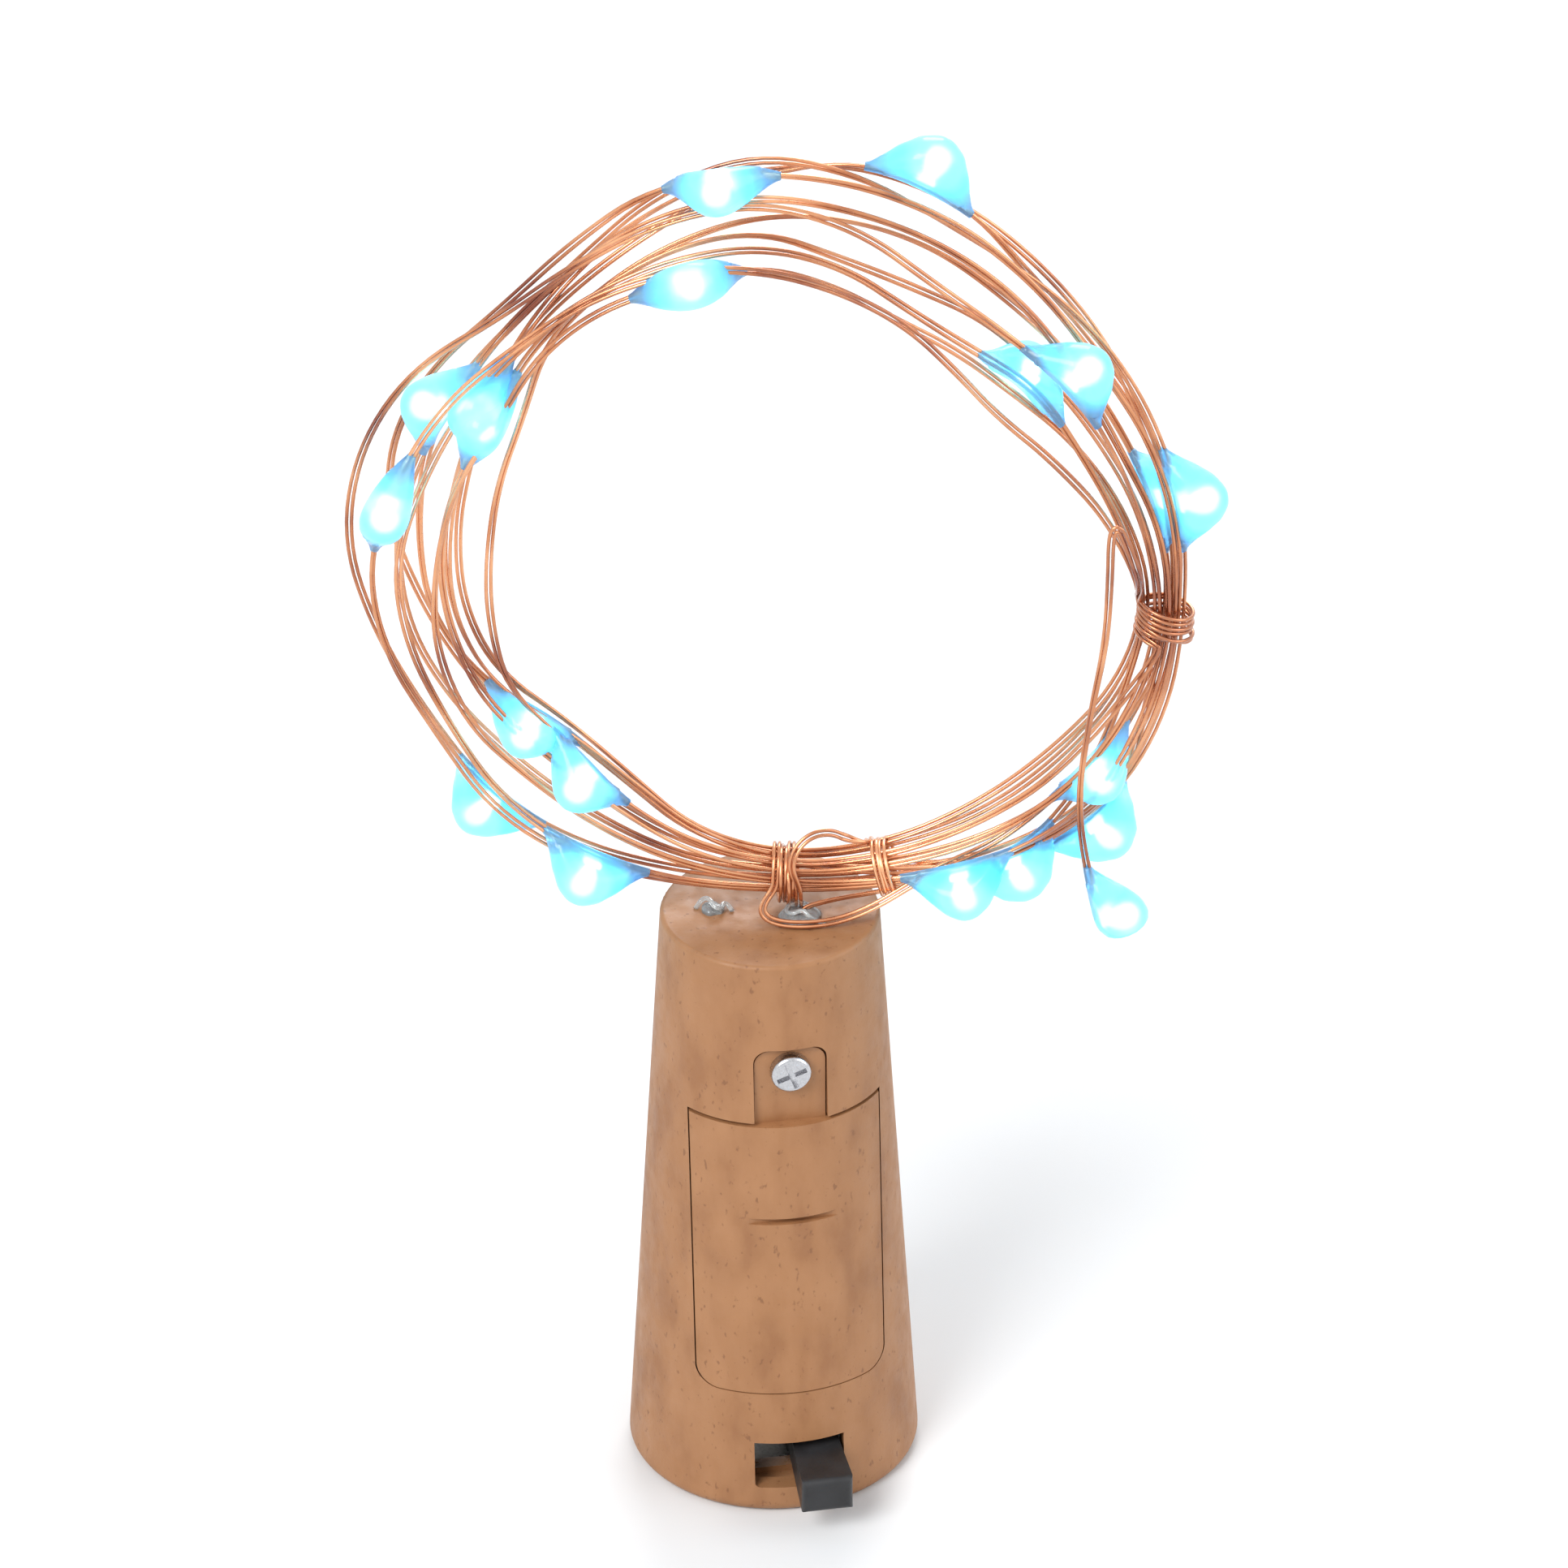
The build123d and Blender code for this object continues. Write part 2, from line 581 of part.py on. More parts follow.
# Contact spring: a steady climb while the turns draw in
def spring_station(quarter):
    """Point and heading of the spring's wire after some quarter turns."""
    quarters = 4 * SPRING_TURNS
    climb = (SPRING_HEIGHT - SPRING_WIRE) / quarters
    shrink = (SPRING_BASE_DIAMETER - SPRING_TOP_DIAMETER) / 2 / quarters
    radius = SPRING_BASE_DIAMETER / 2 - shrink * quarter
    angle = math.radians(90 * quarter)
    height = LEDGE_HEIGHT + CONTACT_THICKNESS + SPRING_WIRE / 2 + climb * quarter
    out = Vector(math.cos(angle), math.sin(angle), 0)
    across = Vector(-math.sin(angle), math.cos(angle), 0)
    flat_end = quarter in (0, quarters)
    rise = 0 if flat_end else climb
    heading = across * (radius * math.pi / 2) - out * shrink + Vector(0, 0, rise)
    return out * radius + Vector(0, 0, height), heading.normalized()


contact_spring, spring_route = wound_tube(
    [spring_station(quarter) for quarter in range(4 * SPRING_TURNS + 1)], SPRING_WIRE
)
save(contact_spring, "contact_spring")
print(f"contact_spring least gap {least_gap(spring_route, SPRING_WIRE):.3f} mm")

# Slide switch case, with its front open over the lever's travel
with BuildPart() as switch_case:
    with BuildSketch(Plane.XZ.offset(SWITCH_BACK)):
        with Locations((SWITCH_X, SWITCH_Z)):
            Rectangle(SWITCH_WIDTH, SWITCH_HEIGHT)
    extrude(amount=SWITCH_DEPTH)
    with BuildSketch(Plane.XZ.offset(SWITCH_BACK + SWITCH_WALL)):
        with Locations((SWITCH_X, SWITCH_Z)):
            Rectangle(SWITCH_WIDTH - 2 * SWITCH_WALL, SWITCH_HEIGHT - 2 * SWITCH_WALL)
    extrude(amount=SWITCH_DEPTH - 2 * SWITCH_WALL, mode=Mode.SUBTRACT)
    with BuildSketch(Plane.XZ.offset(SWITCH_FACE)):
        with Locations((SWITCH_X, SWITCH_Z)):
            Rectangle(WINDOW_RIGHT - WINDOW_LEFT, LEVER_ROOT_HEIGHT + 2 * FIT_CLEARANCE)
    extrude(amount=-SWITCH_WALL, mode=Mode.SUBTRACT)
save(switch_case, "switch_case")

# Switch lever: a slider in the case, a stem through the window and a flared tip
LEVER_TIP = body_radius(SWITCH_Z) + LEVER_REACH
SLIDER_FRONT = SWITCH_FACE - SWITCH_WALL - FIT_CLEARANCE
SLIDER_BACK = SWITCH_BACK + SWITCH_WALL + FIT_CLEARANCE
slider = front_prism(
    LEVER_X - LEVER_ROOT_WIDTH / 2,
    LEVER_X + LEVER_ROOT_WIDTH / 2,
    SWITCH_Z - SWITCH_HEIGHT / 2 + SWITCH_WALL + FIT_CLEARANCE,
    SWITCH_Z + SWITCH_HEIGHT / 2 - SWITCH_WALL - FIT_CLEARANCE,
    0,
    0,
    SLIDER_BACK,
    SLIDER_FRONT,
)
with BuildPart() as switch_lever:
    with BuildSketch(Plane.XZ.offset(SLIDER_FRONT)):
        with Locations((LEVER_X, SWITCH_Z)):
            Rectangle(LEVER_ROOT_WIDTH, LEVER_ROOT_HEIGHT)
    with BuildSketch(Plane.XZ.offset(LEVER_TIP)):
        with Locations((LEVER_X, SWITCH_Z - LEVER_DROOP)):
            Rectangle(LEVER_WIDTH, LEVER_TIP_HEIGHT)
    loft()
    fillet(switch_lever.edges().group_by(Axis.Y)[0], radius=LEVER_ROUNDING)
    add(slider)
save(switch_lever, "switch_lever")

# Solder terminals behind the case
with BuildPart() as switch_terminals:
    with BuildSketch(Plane.XZ.offset(SWITCH_BACK - TERMINAL_LENGTH)):
        with Locations((SWITCH_X, SWITCH_Z)):
            with GridLocations(TERMINAL_PITCH, 0, 3, 1):
                Rectangle(TERMINAL_WIDTH, TERMINAL_THICKNESS)
    extrude(amount=TERMINAL_LENGTH)
save(switch_terminals, "switch_terminals")


# Free cords: straight runs joined by arcs as large as the runs allow
def bend_radii(points):
    """Radius at each inner point: 0.45 of its shorter run over the tangent of half its turn."""
    radii = []
    for before, here, after in zip(points, points[1:], points[2:]):
        turn = math.radians((here - before).get_angle(after - here))
        shorter = min((here - before).length, (after - here).length)
        radii.append(0.45 * shorter / math.tan(turn / 2))
    return radii


def free_tube(points, diameter, name):
    """A tube along the points, whose radii and volume are printed."""
    radii = bend_radii(points)
    with BuildPart() as tube:
        with BuildLine() as route:
            FilletPolyline(*points, radius=radii)
        with BuildSketch(Plane(origin=points[0], z_dir=points[1] - points[0])):
            Circle(diameter / 2)
        sweep()
    length = route.wire().length
    expected = math.pi * diameter**2 / 4 * length
    listed = ", ".join(f"{radius:.1f}" for radius in radii)
    print(f"{name} length {length:.1f}, radii {listed}, volume {tube.part.volume:.2f} of {expected:.2f}")
    return tube, route.wire()


# Sleeve over the joints between the inner leads and the string
sleeve_place = Vector(exit_place.X, exit_place.Y, SLEEVE_BOTTOM)
with BuildPart() as joint_sleeve:
    with Locations(sleeve_place):
        Cylinder(SLEEVE_DIAMETER / 2, SLEEVE_LENGTH, align=(Align.CENTER, Align.CENTER, Align.MIN))
save(joint_sleeve, "joint_sleeve")

# Lead from the switch, up the slot behind the cells and over to the sleeve
TERMINAL_END = -(SWITCH_BACK - TERMINAL_LENGTH)
LEAD_SLOT_Y = CRADLE_BORE_RADIUS + CRADLE_WALL / 2
SLEEVE_PIN_OFFSET = SLEEVE_DIAMETER / 4
switch_lead_points = [
    Vector(SWITCH_X, TERMINAL_END, SWITCH_Z),
    Vector(SWITCH_X, TERMINAL_END + 3 * LEAD_DIAMETER, SWITCH_Z),
    Vector(0, LEAD_SLOT_Y - 3 * LEAD_DIAMETER, FLANGE_BOTTOM - 4 * LEAD_DIAMETER),
    Vector(0, LEAD_SLOT_Y, FLANGE_BOTTOM - LEAD_DIAMETER),
    Vector(0, LEAD_SLOT_Y, CRADLE_TOP + LEAD_DIAMETER),
    Vector(0, LEAD_SLOT_Y - 4 * LEAD_DIAMETER, CRADLE_TOP + 5 * LEAD_DIAMETER),
    Vector(
        exit_place.X - SLEEVE_PIN_OFFSET,
        exit_place.Y,
        SLEEVE_BOTTOM - 2 * LEAD_DIAMETER,
    ),
    Vector(exit_place.X - SLEEVE_PIN_OFFSET, exit_place.Y, SLEEVE_BOTTOM),
]
switch_lead, _ = free_tube(switch_lead_points, LEAD_DIAMETER, "switch_lead")
save(switch_lead, "switch_lead")

# Lead from the switch to the spring plate
cell_lead_points = [
    Vector(CELL_LEAD_X, TERMINAL_END, SWITCH_Z),
    Vector(CELL_LEAD_X, CELL_LEAD_Y, SWITCH_Z),
    Vector(CELL_LEAD_X, CELL_LEAD_Y, LEDGE_HEIGHT),
]
cell_lead, _ = free_tube(cell_lead_points, LEAD_DIAMETER, "cell_lead")
save(cell_lead, "cell_lead")

# Resistor on its own wires, from the top contact to the sleeve
resistor_low = Vector(RESISTOR_X, RESISTOR_Y, CELL_STACK_TOP + CONTACT_THICKNESS)
resistor_foot = Vector(RESISTOR_X, RESISTOR_Y, CRADLE_TOP + LEAD_DIAMETER)
resistor_head = resistor_foot + Vector(0, 0, RESISTOR_LENGTH)
sleeve_pin = Vector(exit_place.X + SLEEVE_PIN_OFFSET, exit_place.Y, SLEEVE_BOTTOM)
resistor_wire_points = [
    resistor_low,
    resistor_head + Vector(0, 0, LEAD_DIAMETER),
    sleeve_pin - Vector(0, 0, LEAD_DIAMETER),
    sleeve_pin,
]
resistor_wire, _ = free_tube(resistor_wire_points, RESISTOR_WIRE, "resistor_wire")
with BuildPart() as limit_resistor:
    with Locations(resistor_foot):
        Cylinder(
            RESISTOR_DIAMETER / 2, RESISTOR_LENGTH, align=(Align.CENTER, Align.CENTER, Align.MIN)
        )
    fillet(limit_resistor.edges().filter_by(GeomType.CIRCLE), radius=RESISTOR_WIRE)
    add(resistor_wire.part)
save(limit_resistor, "limit_resistor")


# Coil: each turn moves one slot round a ring of slots, so that one cord fills the bundle
def bundle_middle(index):
    """Point, heading and outward direction of the bundle's middle line at a station."""
    place = index % len(STATION_ANGLES)
    angle = math.radians(STATION_ANGLES[place])
    lean = math.radians(STATION_LEANS[place])
    out = Vector(math.cos(angle), 0, math.sin(angle))
    along = Vector(-math.sin(angle), 0, math.cos(angle))
    point = RING_CENTRE + out * (RING_RADIUS * STATION_RADIUS_SHARES[place])
    heading = along * math.cos(lean) + out * math.sin(lean)
    outward = out * math.cos(lean) - along * math.sin(lean)
    return point, heading, outward


def strand_angle(turn, place):
    """Angle in degrees at which a turn of the cord lies round the bundle's middle line."""
    return STATION_TWISTS[place] + 360 * SLOT_STEP * (turn + DRIFT_SHARES[place]) / SLOTS


def strand_offset(index):
    """Outward and sideways distance of the cord from the bundle's middle line at a station."""
    turn, place = divmod(index, len(STATION_ANGLES))
    angle = math.radians(strand_angle(turn, place))
    width = max(BUNDLE_RADIUS, FAN_HALF_WIDTH * FAN_WIDTH_SHARES[place])
    depth = max(BUNDLE_RADIUS, FAN_HALF_DEPTH * FAN_DEPTH_SHARES[place])
    share = INNER_TURN_SHARES[place] if turn % 2 else 1
    return width * share * math.cos(angle), depth * share * math.sin(angle)


def strand_station(index):
    """Point and heading of the cord at a station, counted from the first lower tie."""
    place = index % len(STATION_ANGLES)
    point, heading, outward = bundle_middle(index)
    out, side = strand_offset(index)
    before, after = strand_offset(index - 1), strand_offset(index + 1)
    following = STATION_ANGLES[(place + 1) % 4] + (360 if place == 3 else 0)
    previous = STATION_ANGLES[(place - 1) % 4] - (360 if place == 0 else 0)
    run = RING_RADIUS * STATION_RADIUS_SHARES[place] * math.radians(following - previous)
    ease = EASE_SHARES[place] / run
    heading += outward * (ease * (after[0] - before[0])) + DEPTH * (ease * (after[1] - before[1]))
    return point + outward * out + DEPTH * side, heading.normalized()


def winding_station(line, place, angle, advance, runs_along):
    """Point and heading of a winding round a line, at a length along it and an angle round it."""
    centre = line.position_at(place, PositionMode.LENGTH)
    along = line.tangent_at(place, PositionMode.LENGTH)
    outward = DEPTH.cross(along).normalized()
    turn = math.radians(angle)
    out = outward * math.cos(turn) + DEPTH * math.sin(turn)
    across = outward * math.sin(turn) - DEPTH * math.cos(turn)
    heading = across * (TIE_RADIUS * math.pi / 2) + along * advance
    if runs_along:
        heading = along + across * RUN_OUT_SHARE
    return centre + out * TIE_RADIUS, heading.normalized()


def tie_stations(line, start, steps, first_angle, angle_step, along_end):
    """Stations of a tie's winding; at one end it turns to run along the bundle."""
    places = [start + sum(steps[:count]) for count in range(len(steps) + 1)]
    stations = []
    for count, place in enumerate(places):
        before = places[max(count - 1, 0)]
        after = places[min(count + 1, len(steps))]
        advance = (after - before) / (2 if 0 < count < len(steps) else 1)
        angle = first_angle - angle_step * count
        stations.append(winding_station(line, place, angle, advance, count == along_end))
    return stations


with BuildLine() as approach_line:
    join_with_arcs([bundle_middle(index)[:2] for index in (-1, 0)])
with BuildLine() as bundle_line:
    join_with_arcs([bundle_middle(index)[:2] for index in (-1, 0, 1, 2)])
with BuildLine() as tie_to_tie_line:
    join_with_arcs([bundle_middle(index)[:2] for index in (0, 1)])
middle_line = bundle_line.wire()
lower_place = approach_line.wire().length
side_place = lower_place + tie_to_tie_line.wire().length

side_angle = strand_angle(COIL_TURNS, 1)
side_winding = (side_angle - TIE_FRONT_ANGLE) % 360 + 360 * SIDE_TIE_WHOLE_TURNS
lower_stations = tie_stations(
    middle_line,
    lower_place + LOWER_TIE_START,
    LOWER_TIE_STEPS,
    TIE_FRONT_ANGLE,
    90,
    len(LOWER_TIE_STEPS),
)
side_stations = tie_stations(
    middle_line,
    side_place + SIDE_TIE_END - sum(SIDE_TIE_STEPS),
    SIDE_TIE_STEPS,
    side_angle,
    side_winding / len(SIDE_TIE_STEPS),
    0,
)


def shifted(station, distance):
    """The same heading, further along it."""
    return station[0] + station[1] * distance, station[1]


def between_ties(turn):
    """Station halfway from the lower tie to the side tie, partly out of the bundle."""
    place = lower_place + BETWEEN_TIES
    centre = middle_line.position_at(place, PositionMode.LENGTH)
    along = middle_line.tangent_at(place, PositionMode.LENGTH)
    outward = DEPTH.cross(along).normalized()
    angle = math.radians((strand_angle(turn, 0) + strand_angle(turn, 1)) / 2)
    out = outward * math.cos(angle) + DEPTH * math.sin(angle)
    return centre + out * ((BUNDLE_RADIUS + TIE_RADIUS) / 2), along


coil_stations = [
    shifted(lower_stations[-1], 2 * CORD_DIAMETER),
    between_ties(0),
    *[strand_station(index) for index in range(1, 4 * COIL_TURNS + 1)],
    between_ties(COIL_TURNS),
    shifted(side_stations[0], -2 * CORD_DIAMETER),
]


def in_ring_plane(stations):
    """Turn stations of the upright ring about the body's axis to face as the ring does."""
    return [
        (point.rotate(Axis.Z, RING_TURN), heading.rotate(Axis.Z, RING_TURN))
        for point, heading in stations
    ]


string_lower_tie, lower_route = wound_tube(in_ring_plane(lower_stations), CORD_DIAMETER)
save(string_lower_tie, "string_lower_tie")
string_coil, coil_route = wound_tube(in_ring_plane(coil_stations), CORD_DIAMETER)
save(string_coil, "string_coil")
string_side_tie, side_route = wound_tube(in_ring_plane(side_stations), CORD_DIAMETER)
save(string_side_tie, "string_side_tie")
for name, tube, route in (
    ("string_lower_tie", string_lower_tie, lower_route),
    ("string_coil", string_coil, coil_route),
    ("string_side_tie", string_side_tie, side_route),
):
    expected = math.pi * CORD_DIAMETER**2 / 4 * route.length
    gap = least_gap(route, CORD_DIAMETER)
    print(f"{name} length {route.length:.1f}, least gap {gap:.3f}, volume {tube.part.volume:.1f} of {expected:.1f}")

# Lead of the string, from the sleeve through the exit to the lower tie
lower_start, lower_heading = shifted(lower_stations[0], -CORD_DIAMETER)
sleeve_top = SLEEVE_BOTTOM + SLEEVE_LENGTH
lead_points = [
    Vector(EXIT_X, EXIT_Y, sleeve_top),
    Vector(EXIT_X, EXIT_Y, BODY_HEIGHT - CORD_DIAMETER),
    *[Vector(*point) for point in LEAD_POINTS],
    lower_start - lower_heading * LEAD_RISE,
    lower_start,
]
string_lead, lead_route = free_tube(
    [point.rotate(Axis.Z, RING_TURN) for point in lead_points], CORD_DIAMETER, "string_lead"
)
save(string_lead, "string_lead")

# Tail of the string, up from the side tie, over a sharp bend and down to the last light
side_end, side_heading = shifted(side_stations[-1], CORD_DIAMETER)
tail_points = [side_end, side_end + side_heading * TAIL_OUT, *[Vector(*point) for point in TAIL_POINTS]]
string_tail, tail_route = free_tube(
    [point.rotate(Axis.Z, RING_TURN) for point in tail_points], CORD_DIAMETER, "string_tail"
)
save(string_tail, "string_tail")


# Drop lights: clear resin drops round the cord, each over a small chip
def drop_planes(places, bulge):
    """A plane square to the cord at each place, its X along the bulge."""
    return [Plane(origin=point, x_dir=bulge, z_dir=heading) for point, heading in places]


def resin_drop(planes, height_shares, width_shares):
    """Loft a drop through ellipses that keep a thin skin behind the cord and swell away from it."""
    behind = min(height_shares) * DROP_HEIGHT / 2
    with BuildPart() as drop:
        for plane, height_share, width_share in zip(planes, height_shares, width_shares):
            reach = DROP_HEIGHT / 2 * height_share
            with BuildSketch(plane):
                with Locations((reach - behind, 0)):
                    Ellipse(reach, DROP_WIDTH / 2 * width_share)
        loft()
    return drop


def chip_block(plane):
    """The light chip on the bulging side of the cord."""
    beside = CORD_DIAMETER / 2 + CHIP_CLEARANCE + CHIP_THICKNESS / 2
    with BuildPart(plane) as chip:
        with Locations((beside, 0, 0)):
            Box(CHIP_THICKNESS, CHIP_WIDTH, CHIP_LENGTH)
    return chip.part


def coil_bulge(point, heading, lean):
    """Direction of a bulb square to the coil's cord, leaning from outwards to the back."""
    depth = DEPTH.rotate(Axis.Z, RING_TURN)
    away = point - RING_CENTRE.rotate(Axis.Z, RING_TURN)
    outward = (away - depth * away.dot(depth)).normalized()
    bulge = outward * math.cos(math.radians(lean)) + depth * math.sin(math.radians(lean))
    return (bulge - heading * bulge.dot(heading)).normalized()


chips = []
for number in range(1, DROP_COUNT + 1):
    if number < DROP_COUNT:
        middle = FIRST_DROP_PLACE + DROP_SPACING * (number - 1) + DROP_SHIFTS[number - 1]
        lengths = [middle + share * DROP_LENGTH for share in DROP_PLACE_SHARES]
        places = [
            (coil_route.position_at(length, PositionMode.LENGTH), coil_route.tangent_at(length, PositionMode.LENGTH))
            for length in lengths
        ]
        bulge = coil_bulge(*places[2], BULB_LEANS[number - 1])
        section_shares = (DROP_HEIGHT_SHARES, DROP_WIDTH_SHARES)
    else:
        end, down = tail_route @ 1, tail_route % 1
        places = [(end + down * (share * DROP_LENGTH), down) for share in LAST_DROP_PLACE_SHARES]
        bulge = Vector(1, 0, 0).rotate(Axis.Z, RING_TURN)
        section_shares = (LAST_DROP_HEIGHT_SHARES, LAST_DROP_WIDTH_SHARES)
    planes = drop_planes(places, bulge)
    drop = resin_drop(planes, *section_shares)
    chip = chip_block(planes[2])
    with BuildPart() as led_drop:
        add(drop.part)
        add(chip, mode=Mode.SUBTRACT)
    save(led_drop, f"led_drop_{number:02d}")
    chips.append(chip)

with BuildPart() as led_chips:
    add(chips)
save(led_chips, "led_chips")


# Glue round the exit and a stray dab on the top
def glue_mound(x, y, diameter, height):
    """A low domed mound of glue on the body's top, at a place in the ring's own plane."""
    place = Vector(x, y, BODY_HEIGHT).rotate(Axis.Z, RING_TURN)
    with BuildPart() as mound:
        with BuildSketch(Plane.XZ):
            with BuildLine():
                TangentArc((0, height), (diameter / 2, 0), tangent=(1, 0))
                Polyline((diameter / 2, 0), (0, 0), (0, height))
            make_face()
        revolve(axis=Axis.Z)
    return Location(place) * mound.part


seal_mound = glue_mound(EXIT_X, EXIT_Y, SEAL_DIAMETER, SEAL_HEIGHT)
with BuildPart() as exit_seal:
    add(seal_mound)
    with Locations((exit_place.X, exit_place.Y, BODY_HEIGHT)):
        Cylinder(EXIT_HOLE_DIAMETER / 2, TOP_WALL, align=(Align.CENTER, Align.CENTER, Align.MAX))
save(exit_seal, "exit_seal")

dab_mound = glue_mound(DAB_X, DAB_Y, DAB_DIAMETER, DAB_HEIGHT)
with BuildPart() as glue_dab:
    add(dab_mound)
save(glue_dab, "glue_dab")
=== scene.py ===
"""Cork bottle light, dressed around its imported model.

Lengths are in metres, or in mm where a docstring says so, in the model's own frame: +Z up,
door and switch towards -Y. The string's ring stands upright, turned a little about +Z to
face the camera.
"""

import json
import logging
import math
from dataclasses import dataclass, field
from enum import Enum
from typing import Sequence

import bpy
from bpy.types import ID, Material, Node, NodeSocket, NodeTree, Object
from mathutils import Matrix, Vector, noise

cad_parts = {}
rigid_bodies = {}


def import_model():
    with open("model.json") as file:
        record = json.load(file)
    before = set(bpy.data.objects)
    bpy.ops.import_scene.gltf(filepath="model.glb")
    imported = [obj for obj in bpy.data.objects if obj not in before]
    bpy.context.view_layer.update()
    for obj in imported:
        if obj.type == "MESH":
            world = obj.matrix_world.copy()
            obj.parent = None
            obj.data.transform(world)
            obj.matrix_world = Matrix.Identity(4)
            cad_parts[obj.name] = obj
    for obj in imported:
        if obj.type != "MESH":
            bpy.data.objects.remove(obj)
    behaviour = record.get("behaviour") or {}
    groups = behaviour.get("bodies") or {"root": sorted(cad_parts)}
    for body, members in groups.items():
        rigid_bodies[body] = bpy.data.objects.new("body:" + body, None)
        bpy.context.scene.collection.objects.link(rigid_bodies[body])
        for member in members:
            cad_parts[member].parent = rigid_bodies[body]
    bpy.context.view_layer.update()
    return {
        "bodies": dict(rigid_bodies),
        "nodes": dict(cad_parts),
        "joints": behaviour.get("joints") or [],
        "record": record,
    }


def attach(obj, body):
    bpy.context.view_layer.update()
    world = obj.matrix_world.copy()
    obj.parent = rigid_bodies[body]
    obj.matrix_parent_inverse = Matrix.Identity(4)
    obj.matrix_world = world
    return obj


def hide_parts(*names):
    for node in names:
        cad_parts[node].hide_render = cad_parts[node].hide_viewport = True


LOG = logging.getLogger("bottle_light")
MM = 0.001
RING_TURN = math.radians(-10.0)
RIGHT = Vector((1, 0, 0))
BACK = Vector((0, 1, 0))
UP = Vector((0, 0, 1))
Colour = tuple[float, float, float]
Point = tuple[float, float, float]
Face = tuple[int, ...]
Vectors = Sequence[Vector]
Ring = list[Vector]
Pair = tuple[float, float]
Stops = tuple[tuple[float, Colour], ...]
Settings = tuple[tuple[str, float | Colour], ...]
Inputs = dict[str | int, float | Colour | NodeSocket]


class Slot(Enum):
    """Material slots of the pieces that are made here."""

    SPRING = "spring_steel"
    RED_LEAD = "lead_red"
    BLACK_LEAD = "lead_black"
    GLUE = "clear_glue"
    STRING = "copper_string"
    DROP = "clear_drop"
    CHIP = "led_chip"


# Finishes


@dataclass(frozen=True)
class Grain:
    """Noise over a surface: width of its features, octaves of detail, how much finer along each axis."""

    size: float
    detail: float = 3.0
    stretch: Point = (1.0, 1.0, 1.0)


@dataclass(frozen=True)
class Sheen:
    """Uneven polish: width of its patches and the roughness from its smoothest to its dullest."""

    patch: float
    smooth: float
    dull: float


@dataclass(frozen=True)
class Relief:
    """Fine relief that follows a grain: its depth and the share of it that shows."""

    grain: Grain
    depth: float
    strength: float = 1.0


class NodeSheet:
    """A node tree that grows by short calls."""

    def __init__(self, tree: NodeTree) -> None:
        """Take up the tree of a material or a world."""
        self.tree = tree

    def fill(self, node: Node, inputs: Inputs) -> None:
        """Give inputs of a node their values.

        Args:
            node: The node.
            inputs: Value of each input, or the socket that feeds it, by the input's name or number.
        """
        for name, value in inputs.items():
            target = node.inputs[name]
            if isinstance(value, NodeSocket):
                self.tree.links.new(value, target)
            else:
                target.default_value = (*value, 1.0) if target.type == "RGBA" else value

    def add(self, kind: str, inputs: Inputs, **settings: str | bool) -> Node:
        """Add a node.

        Args:
            kind: Its type, without the leading ShaderNode.
            inputs: Its inputs, as in fill.
            settings: Its own settings.

        Returns:
            The node.
        """
        node = self.tree.nodes.new(f"ShaderNode{kind}")
        for name, value in settings.items():
            setattr(node, name, value)
        self.fill(node, inputs)
        return node

    def seen_directly(self) -> NodeSocket:
        """Tell the rays on which a backdrop is seen, straight on, in metal or through resin.

        Returns:
            Socket that is one on those rays and zero on the others.
        """
        rays = self.add("LightPath", {}).outputs
        total = rays["Is Camera Ray"]
        for name in ("Is Glossy Ray", "Is Transmission Ray"):
            node = self.add("Math", {0: total, 1: rays[name]}, operation="ADD", use_clamp=True)
            total = node.outputs["Value"]
        return total


